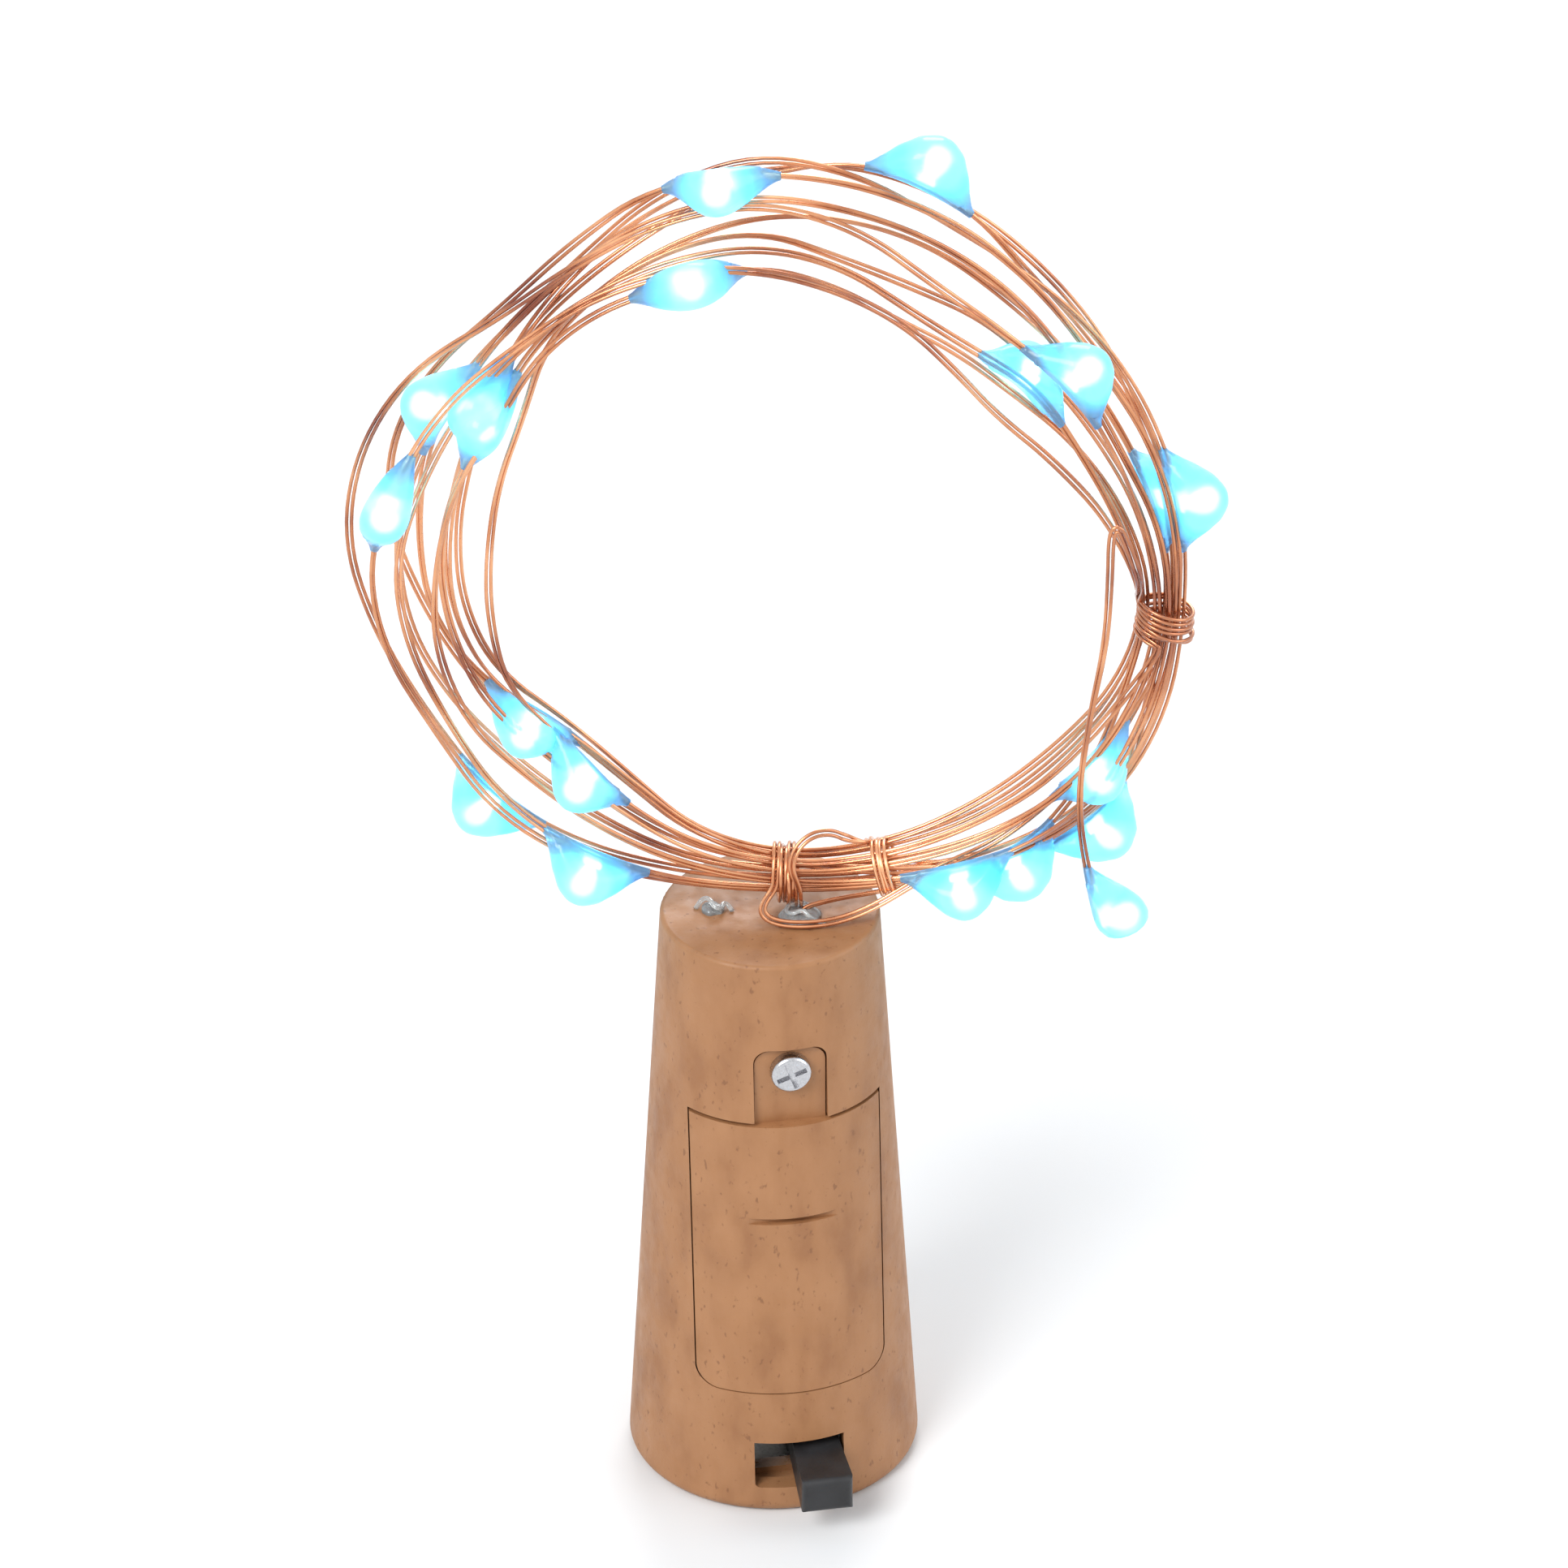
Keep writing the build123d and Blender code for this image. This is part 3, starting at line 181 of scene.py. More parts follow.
class Surface(NodeSheet):
    """A new material's node tree, with the nodes that the finishes share."""

    noise_span: Pair = (0.3, 0.7)

    def __init__(self, name: str) -> None:
        """Start a material that holds one principled shader.

        Args:
            name: The material's name.
        """
        self.material = bpy.data.materials.new(name)
        self.material.use_nodes = True
        super().__init__(self.material.node_tree)
        self.shader = self.tree.nodes["Principled BSDF"]
        self.place = self.add("TexCoord", {}).outputs["Object"]

    def set(self, inputs: Inputs) -> None:
        """Give inputs of the shader their values or sockets."""
        self.fill(self.shader, inputs)

    def noise(self, grain: Grain) -> NodeSocket:
        """Add the noise of a grain.

        Args:
            grain: The noise that is wanted.

        Returns:
            The noise value's socket.
        """
        mapping = self.add("Mapping", {"Vector": self.place, "Scale": grain.stretch})
        place = mapping.outputs["Vector"]
        texture = self.add("TexNoise", {"Vector": place, "Scale": 1 / grain.size, "Detail": grain.detail})
        return texture.outputs["Fac"]

    def ramp(self, value: NodeSocket, stops: Stops) -> NodeSocket:
        """Turn a value into a colour.

        Args:
            value: Socket of the value, from 0 to 1.
            stops: Places from 0 to 1 and the colour at each.

        Returns:
            The colour's socket.
        """
        node = self.add("ValToRGB", {"Fac": value})
        elements = node.color_ramp.elements
        while len(elements) < len(stops):
            elements.new(0.5)
        for element, (place, colour) in zip(elements, stops):
            element.position = place
            element.color = (*colour, 1.0)
        return node.outputs["Color"]

    def shine(self, sheen: Sheen) -> None:
        """Make the surface rougher and smoother from place to place.

        Args:
            sheen: The uneven polish.
        """
        low, high = self.noise_span
        inputs = {"Value": self.noise(Grain(sheen.patch)), "From Min": low, "From Max": high}
        node = self.add("MapRange", {**inputs, "To Min": sheen.smooth, "To Max": sheen.dull})
        self.set({"Roughness": node.outputs["Result"]})

    def raise_by(self, relief: Relief) -> None:
        """Raise the surface, over any relief that is there.

        Args:
            relief: The relief to add.
        """
        inputs = {"Height": self.noise(relief.grain), "Distance": relief.depth, "Strength": relief.strength}
        normal = self.shader.inputs["Normal"]
        if normal.is_linked:
            inputs["Normal"] = normal.links[0].from_socket
        self.set({"Normal": self.add("Bump", inputs).outputs["Normal"]})


@dataclass(frozen=True)
class Finish:
    """A mottled surface with an uneven sheen and fine relief."""

    name: str
    mottle: Grain
    stops: Stops
    sheen: Sheen | None = None
    reliefs: tuple[Relief, ...] = ()
    settings: Settings = ()

    def colour(self, sheet: Surface) -> NodeSocket:
        """Colour of the surface, mottled by its noise.

        Args:
            sheet: The material's node tree.

        Returns:
            The colour's socket.
        """
        return sheet.ramp(sheet.noise(self.mottle), self.stops)

    def build(self) -> Material:
        """Make the material.

        Returns:
            The finished material.
        """
        sheet = Surface(self.name)
        sheet.set({"Base Color": self.colour(sheet)})
        if self.sheen:
            sheet.shine(self.sheen)
        for relief in self.reliefs:
            sheet.raise_by(relief)
        sheet.set(dict(self.settings))
        return sheet.material


@dataclass(frozen=True)
class SpeckledFinish(Finish):
    """A mottled surface with darker specks."""

    speck: Colour = (0.19, 0.080, 0.034)
    specks: Grain = Grain(size=0.42 * MM, detail=2.0, stretch=(1.0, 1.0, 0.6))
    speck_share: float = 0.7

    def colour(self, sheet: Surface) -> NodeSocket:
        """Colour of the mottled surface, darkened where its specks are."""
        stops = ((0.27, (self.speck_share,) * 3), (0.36, (0.0, 0.0, 0.0)))
        share = sheet.ramp(sheet.noise(self.specks), stops)
        inputs = {"Factor": share, "A": super().colour(sheet), "B": self.speck}
        return sheet.add("Mix", inputs, data_type="RGBA").outputs["Result"]


@dataclass(frozen=True)
class ClearResin:
    """Clear resin lit from inside: white over the light, blue towards its thin tails."""

    name: str = "clear_resin"
    cloud: Grain = Grain(0.9 * MM)
    cloud_share: float = 0.16
    tints: Stops = ((0.1, (0.24, 0.62, 0.94)), (1.0, (0.16, 0.66, 0.95)))
    glows: Stops = (
        (0.1, (0.0, 0.04, 0.16)),
        (0.28, (0.0, 0.18, 0.44)),
        (0.48, (0.01, 0.34, 0.60)),
        (0.68, (0.16, 0.54, 0.76)),
    )
    clearness: Stops = ((0.1, (0.85, 0.85, 0.85)), (0.6, (0.6, 0.6, 0.6)))
    waves: Relief = Relief(Grain(1.4 * MM), depth=0.05 * MM)
    settings: Settings = (
        ("Roughness", 0.52),
        ("IOR", 1.4),
        ("Emission Strength", 0.9),
        ("Coat Weight", 0.45),
        ("Coat Roughness", 0.08),
    )

    def build(self) -> Material:
        """Make the material.

        Returns:
            The finished material.
        """
        sheet = Surface(self.name)
        glow = sheet.add("Attribute", {}, attribute_name="glow").outputs["Fac"]
        blend = {0: sheet.noise(self.cloud), 1: self.cloud_share, 2: glow}
        lit = sheet.add("Math", blend, operation="MULTIPLY_ADD").outputs["Value"]
        sheet.set(
            {
                "Base Color": sheet.ramp(lit, self.tints),
                "Emission Color": sheet.ramp(lit, self.glows),
                "Transmission Weight": sheet.ramp(lit, self.clearness),
            }
        )
        sheet.raise_by(self.waves)
        sheet.set(dict(self.settings))
        return sheet.material


def moulded(name: str, colour: Colour, deep: Colour, roughness: float) -> Finish:
    """Moulded plastic with faint mottling, a fine grain and an uneven sheen.

    Args:
        name: The material's name.
        colour: Its colour.
        deep: Its colour in the darker places.
        roughness: Its usual roughness.

    Returns:
        The finish.
    """
    smoother, duller = 0.06, 0.1
    return Finish(
        name,
        mottle=Grain(size=3.2 * MM, detail=5.0),
        stops=((0.36, deep), (0.62, colour)),
        sheen=Sheen(patch=1.6 * MM, smooth=roughness - smoother, dull=roughness + duller),
        reliefs=(Relief(Grain(size=0.35 * MM, detail=2.0), depth=0.018 * MM),),
        settings=(("Specular IOR Level", 0.45),),
    )


def plated(name: str, colour: Colour, roughness: float, marks: Grain) -> Finish:
    """Plated metal with drawn or turned marks and uneven polish.

    Args:
        name: The material's name.
        colour: Its colour.
        roughness: Its usual roughness.
        marks: The marks.

    Returns:
        The finish.
    """
    darker, marks_in_patch, smoother, duller = 0.82, 6, 0.7, 1.4
    return Finish(
        name,
        mottle=marks,
        stops=((0.3, tuple(darker * channel for channel in colour)), (0.6, colour)),
        sheen=Sheen(marks_in_patch * marks.size, smoother * roughness, duller * roughness),
        reliefs=(Relief(marks, depth=0.006 * MM),),
        settings=(("Metallic", 1.0),),
    )


CORK_GRAIN = Grain(size=2.6 * MM, detail=6.0, stretch=(1.0, 1.0, 0.45))
CORK = SpeckledFinish(
    "cork_plastic",
    mottle=CORK_GRAIN,
    stops=((0.34, (0.292, 0.130, 0.053)), (0.47, (0.338, 0.157, 0.066)), (0.66, (0.372, 0.178, 0.078))),
    sheen=Sheen(patch=1.2 * MM, smooth=0.42, dull=0.6),
    reliefs=(Relief(CORK_GRAIN, depth=0.05 * MM, strength=0.6), Relief(Grain(0.28 * MM), depth=0.02 * MM)),
    settings=(("Specular IOR Level", 0.42),),
)
BLACK = moulded("black_plastic", (0.022, 0.022, 0.024), (0.014, 0.014, 0.015), 0.42)
WHITE = moulded("white_plastic", (0.80, 0.80, 0.77), (0.72, 0.72, 0.68), 0.45)
RED = moulded("red_insulation", (0.55, 0.03, 0.025), (0.42, 0.02, 0.02), 0.35)
LACQUER = moulded("resistor_lacquer", (0.42, 0.55, 0.62), (0.34, 0.46, 0.54), 0.3)
DRAWN = Grain(0.25 * MM, stretch=(1.0, 1.0, 12.0))
CHROME = plated("screw_plating", (0.58, 0.58, 0.60), 0.24, Grain(0.12 * MM))
NICKEL = plated("cell_nickel", (0.78, 0.77, 0.74), 0.24, DRAWN)
SHEET_STEEL = plated("sheet_steel", (0.70, 0.70, 0.69), 0.32, DRAWN)
COPPER = Finish(
    "enamelled_copper",
    mottle=Grain(size=9 * MM, detail=4.0),
    stops=((0.34, (0.30, 0.085, 0.045)), (0.5, (0.62, 0.25, 0.11)), (0.68, (0.86, 0.43, 0.22))),
    sheen=Sheen(patch=2 * MM, smooth=0.2, dull=0.36),
    reliefs=(Relief(Grain(0.4 * MM), depth=0.008 * MM),),
    settings=(("Metallic", 0.92), ("Coat Weight", 0.7), ("Coat Roughness", 0.08)),
)
GLUE_CLOUD = Grain(size=0.6 * MM, detail=4.0)
HOT_GLUE = Finish(
    "hot_glue",
    mottle=GLUE_CLOUD,
    stops=((0.35, (0.688, 0.7224, 0.7224)), (0.6, (0.80, 0.84, 0.84))),
    reliefs=(Relief(GLUE_CLOUD, depth=0.06 * MM),),
    settings=(("Roughness", 0.18), ("IOR", 1.48), ("Transmission Weight", 0.72), ("Coat Weight", 0.4)),
)
LIT_CHIP = Finish(
    "lit_chip",
    mottle=Grain(0.1 * MM),
    stops=((0.3, (0.95, 0.93, 0.7)), (0.7, (1.0, 1.0, 0.95))),
    settings=(("Emission Color", (0.78, 0.97, 1.0)), ("Emission Strength", 4.0), ("Roughness", 0.4)),
)


# Shapes


def from_mm(points: Sequence[Point]) -> list[Vector]:
    """Points whose coordinates are given in mm."""
    return [Vector([value * MM for value in point]) for point in points]


def add_object(name: str, data: ID) -> Object:
    """Put an object that shows the given data in the scene."""
    added = bpy.data.objects.new(name, data)
    bpy.context.collection.objects.link(added)
    return added


def turned(points: Vectors) -> list[Vector]:
    """Turn points of the upright ring about the body's axis to where the ring stands."""
    spin = Matrix.Rotation(RING_TURN, 3, "Z")
    return [spin @ point for point in points]


def directions(path: Vectors) -> list[Vector]:
    """Unit heading at each point of a path."""
    last = len(path) - 1
    return [(path[min(i + 1, last)] - path[max(i - 1, 0)]).normalized() for i in range(last + 1)]


def lengths_along(path: Vectors) -> list[float]:
    """Length along a path up to each of its points.

    Args:
        path: Points of the path.

    Returns:
        One length for each point, from zero on.
    """
    total, lengths = 0.0, [0.0]
    for here, following in zip(path, path[1:]):
        total += (following - here).length
        lengths.append(total)
    return lengths


def point_at(path: Vectors, lengths: Sequence[float], length: float) -> Vector:
    """Find the point at a length along a path, carried straight on past its ends.

    Args:
        path: Points of the path.
        lengths: Length along the path up to each of them.
        length: The length that is wanted.

    Returns:
        The point.
    """
    low = max(0, min(len(path) - 2, sum(value <= length for value in lengths) - 1))
    share = (length - lengths[low]) / (lengths[low + 1] - lengths[low])
    return path[low] + (path[low + 1] - path[low]) * share


def square_to(direction: Vector, heading: Vector) -> Vector:
    """Unit direction square to a heading, as near to the given direction as can be."""
    return (direction - heading * direction.dot(heading)).normalized()


def circle(middle: Vector, first: Vector, second: Vector, radius: float, count: int) -> Ring:
    """Points round a circle.

    Args:
        middle: Its middle.
        first: Unit direction from there to the first point.
        second: Unit direction to the place a quarter of the way round.
        radius: Its radius.
        count: How many points.

    Returns:
        The points in order.
    """
    turns = [2 * math.pi * spot / count for spot in range(count)]
    return [middle + (first * math.cos(turn) + second * math.sin(turn)) * radius for turn in turns]


def follow(points: Vectors, steps: int) -> list[Vector]:
    """Points along the smooth NURBS curve that the given points control.

    Args:
        points: Control points.
        steps: Steps between neighbouring control points.

    Returns:
        Points of the curve, from the first control point to the last.
    """
    curve = bpy.data.curves.new("route", "CURVE")
    curve.dimensions = "3D"
    curve.resolution_u = steps
    spline = curve.splines.new("NURBS")
    spline.points.add(len(points) - 1)
    for spot, point in zip(spline.points, points):
        spot.co = (*point, 1.0)
    spline.order_u = 3
    spline.use_endpoint_u = True
    holder = bpy.data.objects.new("route", curve)
    mesh = bpy.data.meshes.new_from_object(holder)
    path = [vertex.co.copy() for vertex in mesh.vertices]
    bpy.data.objects.remove(holder)
    bpy.data.curves.remove(curve)
    bpy.data.meshes.remove(mesh)
    return path


@dataclass
class Shape:
    """Points and faces of a mesh, built up from closed skins."""

    points: list[Vector] = field(default_factory=list)
    faces: list[Face] = field(default_factory=list)

    def add(self, rings: Sequence[Ring]) -> None:
        """Join equal rings of points into a closed skin, with both ends capped.

        Args:
            rings: Rings in order, each anticlockwise seen against its direction.
        """
        first, count = len(self.points), len(rings[0])
        self.faces.append(tuple(first + spot for spot in reversed(range(count))))
        for row in range(len(rings) - 1):
            low = first + row * count
            for spot in range(count):
                beside = (spot + 1) % count
                self.faces.append((low + spot, low + beside, low + count + beside, low + count + spot))
        last = first + (len(rings) - 1) * count
        self.faces.append(tuple(last + spot for spot in range(count)))
        self.points += [point for ring in rings for point in ring]

    def add_wire(
        self, path: Vectors, sides: Vectors, radius: float, count: int, offset: float = 0.0
    ) -> None:
        """Add a round wire that runs along a path or beside it.

        Args:
            path: Points of the path.
            sides: At each point, a direction across the path in which the wire lies from it.
            radius: Radius of the wire.
            count: Points in a ring.
            offset: Distance of the wire's middle from the path.
        """
        rings = []
        for point, heading, side in zip(path, directions(path), sides):
            across = square_to(side, heading)
            rings.append(circle(point + across * offset, across, heading.cross(across), radius, count))
        self.add(rings)

    def piece(self, name: str, material: Material, angle: float, on_ring: bool = False) -> Object:
        """Make a smooth-shaded mesh object of the shape.

        Args:
            name: The piece's name.
            material: Its finish.
            angle: Edges sharper than this many degrees stay crisp.
            on_ring: Whether it turns with the string's ring.

        Returns:
            The new object.
        """
        mesh = bpy.data.meshes.new(name)
        points = turned(self.points) if on_ring else self.points
        mesh.from_pydata([tuple(point) for point in points], [], self.faces)
        mesh.materials.append(material)
        mesh.shade_smooth()
        mesh.set_sharp_from_angle(angle=math.radians(angle))
        return add_object(name, mesh)


def stand_for(piece: Object, slot: Slot, *nodes: str) -> None:
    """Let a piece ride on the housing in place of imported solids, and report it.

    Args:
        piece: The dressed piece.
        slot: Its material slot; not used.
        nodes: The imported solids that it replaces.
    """
    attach(piece, "housing")
    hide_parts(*nodes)
    LOG.info("%s in place of %s", piece.name, ", ".join(nodes))


def curve_through(keys: Sequence[Pair], place: float) -> float:
    """Follow a smooth curve through keys.

    Args:
        keys: (place, value) pairs in rising order of place.
        place: Where the value is wanted.

    Returns:
        The value there.
    """
    index = max(0, min(len(keys) - 2, sum(key[0] <= place for key in keys) - 1))
    (x0, y0), (x1, y1) = keys[index], keys[index + 1]
    before, after = keys[max(index - 1, 0)], keys[min(index + 2, len(keys) - 1)]
    slope0 = (y1 - before[1]) / (x1 - before[0])
    slope1 = (after[1] - y0) / (after[0] - x0)
    span = x1 - x0
    t = (place - x0) / span
    rise = (2 * t**3 - 3 * t**2 + 1) * y0 + (3 * t**2 - 2 * t**3) * y1
    return rise + ((t**3 - 2 * t**2 + t) * slope0 + (t**3 - t**2) * slope1) * span


# String of lights


@dataclass(frozen=True)
class RingKey:
    """The bundle of turns at one angle round the ring: its distance out and its half sizes, in mm."""

    angle: float
    middle: float
    half_width: float
    half_depth: float


@dataclass(frozen=True)
class DropPlace:
    """One drop: its angle along the coil, how its bulb leans and how far it pulls the wire, in mm.

    The lean is in degrees from straight outwards in the ring to the back.
    """

    angle: float
    lean: float
    pull_out: float = 0.0
    pull_back: float = 0.0


@dataclass(frozen=True)
class Winding:
    """The wraps of a tie: their length along the bundle, their turns and their slack."""

    length: float
    turns: float
    slack: float = 0.0


@dataclass
class LightString:
    """Twin enamelled wire: a lead, a tie, eleven loose turns, a second tie and a tail.

    The points of its free stretches are in mm.
    """

    centre: Vector = field(default_factory=lambda: Vector((0.5, 0.0, 79.0)) * MM)
    wire_radius: float = 0.14 * MM
    wire_gap: float = 0.36 * MM
    width: float = 0.7 * MM
    wire_sides: int = 8
    turns: int = 11
    step: float = 15.0
    first_angle: float = 302.0
    last_gap: float = 12.0
    stray: float = 1.5 * MM
    stray_angle: float = 34.0
    stray_depth_share: float = 0.6
    stray_seeds: Pair = (1.3, 7.9)
    loose_from: float = 1.6 * MM
    loose_span: float = 2.5 * MM
    pull_angle: float = 19.0
    turn_shift: float = 150.0
    tie_radius: float = 2.05 * MM
    wrap_controls: int = 12
    slack_ripple: float = 2.3
    lower_tie_places: Pair = (8.5 * MM, 1.6 * MM)
    side_tie_angle: float = 342.6
    sways: tuple[Point, ...] = ((0.75, 17 * MM, 0.0), (0.5, 6.7 * MM, 1.0))
    sway_power: int = 4
    steps: int = 7
    lead: tuple[Point, ...] = (
        (2.3, -1.23, 45.1),
        (2.3, -1.23, 46.3),
        (2.4, -1.3, 47.8),
        (3.6, -0.9, 48.0),
        (5.6, -0.2, 48.05),
        (7.2, 0.0, 48.2),
    )
    loop_over: tuple[Point, ...] = (
        (5.6, -0.4, 53.3),
        (4.5, -0.8, 54.1),
        (3.1, -1.2, 54.1),
        (2.0, -1.7, 53.3),
        (1.5, -2.2, 51.9),
    )
    loop_under: tuple[Point, ...] = (
        (-0.6, -2.5, 48.8),
        (-0.4, -2.7, 47.9),
        (1.0, -3.0, 47.5),
        (3.2, -3.0, 47.45),
        (5.4, -2.7, 47.7),
        (7.6, -2.3, 48.5),
        (9.8, -1.8, 49.7),
        (12.6, -1.2, 51.3),
    )
    tail: tuple[Point, ...] = (
        (26.8, -3.4, 76.2),
        (26.2, -4.2, 78.8),
        (25.6, -4.5, 80.6),
        (25.2, -4.6, 81.7),
        (24.7, -4.7, 81.8),
        (24.5, -4.7, 80.6),
        (24.5, -4.6, 77.8),
        (24.3, -4.5, 72.4),
        (23.2, -4.2, 65.9),
        (22.4, -4.4, 59.4),
        (22.9, -4.2, 53.6),
        (24.1, -3.9, 48.4),
    )
    right_wraps: Winding = Winding(-1.4 * MM, -2.5, 0.1 * MM)
    left_wraps: Winding = Winding(-1.7 * MM, -3.0, 0.2 * MM)
    side_wraps: Winding = Winding(2.6 * MM, 3.25, 0.08 * MM)
    keys: tuple[RingKey, ...] = (
        RingKey(263, 28.6, 1.45, 1.45),
        RingKey(284, 29.4, 1.45, 1.45),
        RingKey(315, 30.8, 2.9, 2.2),
        RingKey(340, 29.6, 1.45, 1.45),
        RingKey(350, 28.6, 1.45, 1.45),
        RingKey(380, 24.6, 4.2, 2.4),
        RingKey(415, 23.9, 5.4, 3.0),
        RingKey(452, 26.3, 5.2, 3.3),
        RingKey(491, 24.5, 2.0, 2.6),
        RingKey(515, 25.0, 4.3, 3.0),
        RingKey(538, 25.9, 5.4, 3.3),
        RingKey(570, 26.4, 3.7, 3.0),
        RingKey(592, 26.5, 5.2, 2.6),
    )
    phases: tuple[Pair, ...] = ((268, 0.0), (349, 16.7), (440, 43.4), (538, 134.9))
    inner_shares: tuple[Pair, ...] = ((268, 1.0), (349, 1.0), (440, 0.71), (538, 0.53))
    drops: Sequence[DropPlace] = ()
    controls: list[Vector] = field(default_factory=list)
    facings: list[Vector] = field(default_factory=list)
    first_control: int = 0
    path: list[Vector] = field(default_factory=list)
    lengths: list[float] = field(default_factory=list)

    def at(self, angle: float, out: float, depth: float) -> Vector:
        """Point at an angle round the ring, a distance out and a depth."""
        turn = math.radians(angle)
        return self.centre + Vector((math.cos(turn) * out, depth, math.sin(turn) * out))

    def round_ring(self, angle: float, keys: Sequence[Pair]) -> float:
        """Value at any angle of a smooth curve that repeats with each turn of the ring."""
        laps = [(place + lap, value) for lap in (-360, 0, 360) for place, value in keys]
        return curve_through(laps, (angle - keys[0][0]) % 360 + keys[0][0])

    def middle(self, angle: float) -> float:
        """Distance of the bundle's middle line from the ring's centre."""
        return self.round_ring(angle, [(key.angle, key.middle * MM) for key in self.keys])

    def strand(self, angle: float) -> Vector:
        """Place of the wire at an angle counted on through the turns.

        Each turn lies round the bundle's middle a fixed angle on from the turn before, and every
        second turn lies nearer to the middle where the bundle fans out. There the turns also
        stray from their places, and near a drop its weight pulls them.

        Args:
            angle: Angle round the ring in degrees, from the lower tie on.

        Returns:
            The wire's middle.
        """
        turn = (angle - self.phases[0][0]) // 360
        laps = [
            (place + 360 * lap, phase + self.turn_shift * lap)
            for lap in (turn - 1, turn, turn + 1)
            for place, phase in self.phases
        ]
        around = curve_through(laps, angle)
        share = self.round_ring(angle, self.inner_shares) if turn % 2 else 1.0
        width = self.round_ring(angle, [(key.angle, key.half_width * MM) for key in self.keys])
        depth = self.round_ring(angle, [(key.angle, key.half_depth * MM) for key in self.keys])
        turned_by = math.radians(around)
        out = self.middle(angle) + width * share * math.cos(turned_by)
        back = depth * share * math.sin(turned_by)
        loose = self.stray * max(0.0, min(1.0, (width - self.loose_from) / self.loose_span))
        strays = [noise.noise(Vector((angle / self.stray_angle, seed, 0.0))) for seed in self.stray_seeds]
        out += loose * strays[0]
        back += self.stray_depth_share * loose * strays[1]
        for drop in self.drops:
            near = math.exp(-(((angle - drop.angle) / self.pull_angle) ** 2))
            out += near * drop.pull_out * MM
            back += near * drop.pull_back * MM
        return self.at(angle, out, back)

    def wind(self, angle: float, around: float, winding: Winding) -> None:
        """Add the control points of a tie's wraps.

        Args:
            angle: Angle round the ring where the wraps start.
            around: Angle round the bundle where they start, in degrees.
            winding: Their length along the bundle, turns and slack.
        """
        count = round(abs(winding.turns) * self.wrap_controls)
        for index in range(count + 1):
            share = index / count
            here = angle + math.degrees(winding.length * share / self.middle(angle))
            turn = math.radians(around - 360 * winding.turns * share)
            swell = self.tie_radius + winding.slack * (1 + math.sin(self.slack_ripple * turn + angle))
            outward, deep = swell * math.cos(turn), swell * math.sin(turn)
            self.controls.append(self.at(here, self.middle(here) + outward, deep))
            out = self.at(here, 1.0, 0.0) - self.centre
            self.facings.append(-out * math.cos(turn) - BACK * math.sin(turn))

    def add_free(self, points: Vectors) -> None:
        """Add control points of a stretch outside the ties."""
        self.controls += points
        self.facings += [BACK] * len(points)

    def route(self) -> None:
        """Lay out the control points from the exit to the tail's end."""
        lowest, front = 270.0, -90.0
        steps = [math.degrees(place / self.middle(lowest)) for place in self.lower_tie_places]
        right, left = (lowest + step for step in steps)
        self.add_free(from_mm(self.lead))
        self.wind(right, 0.0, self.right_wraps)
        self.add_free(from_mm(self.loop_over))
        self.wind(left, front, self.left_wraps)
        self.add_free(from_mm(self.loop_under))
        self.first_control = len(self.controls)
        swept = self.side_tie_angle + 360 * self.turns - self.last_gap - self.first_angle
        angles = [self.first_angle + self.step * index for index in range(math.ceil(swept / self.step))]
        self.add_free([self.strand(angle) for angle in angles])
        self.wind(self.side_tie_angle, front, self.side_wraps)
        self.add_free(from_mm(self.tail))

    def spot_of(self, angle: float) -> int:
        """Number of the path's point at an angle of the coil, counted on through its turns."""
        control = self.first_control + (angle - self.first_angle) / self.step
        return round(control / (len(self.controls) - 1) * (len(self.path) - 1))

    def wire_sides_along(self) -> list[Vector]:
        """Work out on which side of the route one of the two wires lies.

        Outside the ties the two wires sway about each other now and then.

        Returns:
            A unit direction for each point of the path.
        """
        sides = []
        for index, (heading, length) in enumerate(zip(directions(self.path), self.lengths)):
            control = index / (len(self.path) - 1) * (len(self.controls) - 1)
            low = min(int(control), len(self.controls) - 2)
            facing = self.facings[low].lerp(self.facings[low + 1], control - low)
            sway = sum(amount * math.sin(length / reach + start) for amount, reach, start in self.sways)
            free = min(1.0, abs(facing.y)) ** self.sway_power
            side = heading.cross(facing).normalized()
            sides.append(Matrix.Rotation(sway * free, 3, heading) @ side)
        return sides

    def build(self, material: Material) -> Object:
        """Make the two wires along the whole route.

        Args:
            material: Finish of the wire.

        Returns:
            The string's mesh.
        """
        self.route()
        self.path = follow(self.controls, self.steps)
        self.lengths = lengths_along(self.path)
        sides = self.wire_sides_along()
        wires = Shape()
        for offset in (-self.wire_gap / 2, self.wire_gap / 2):
            wires.add_wire(self.path, sides, self.wire_radius, self.wire_sides, offset)
        return wires.piece("light_string", material, angle=60, on_ring=True)


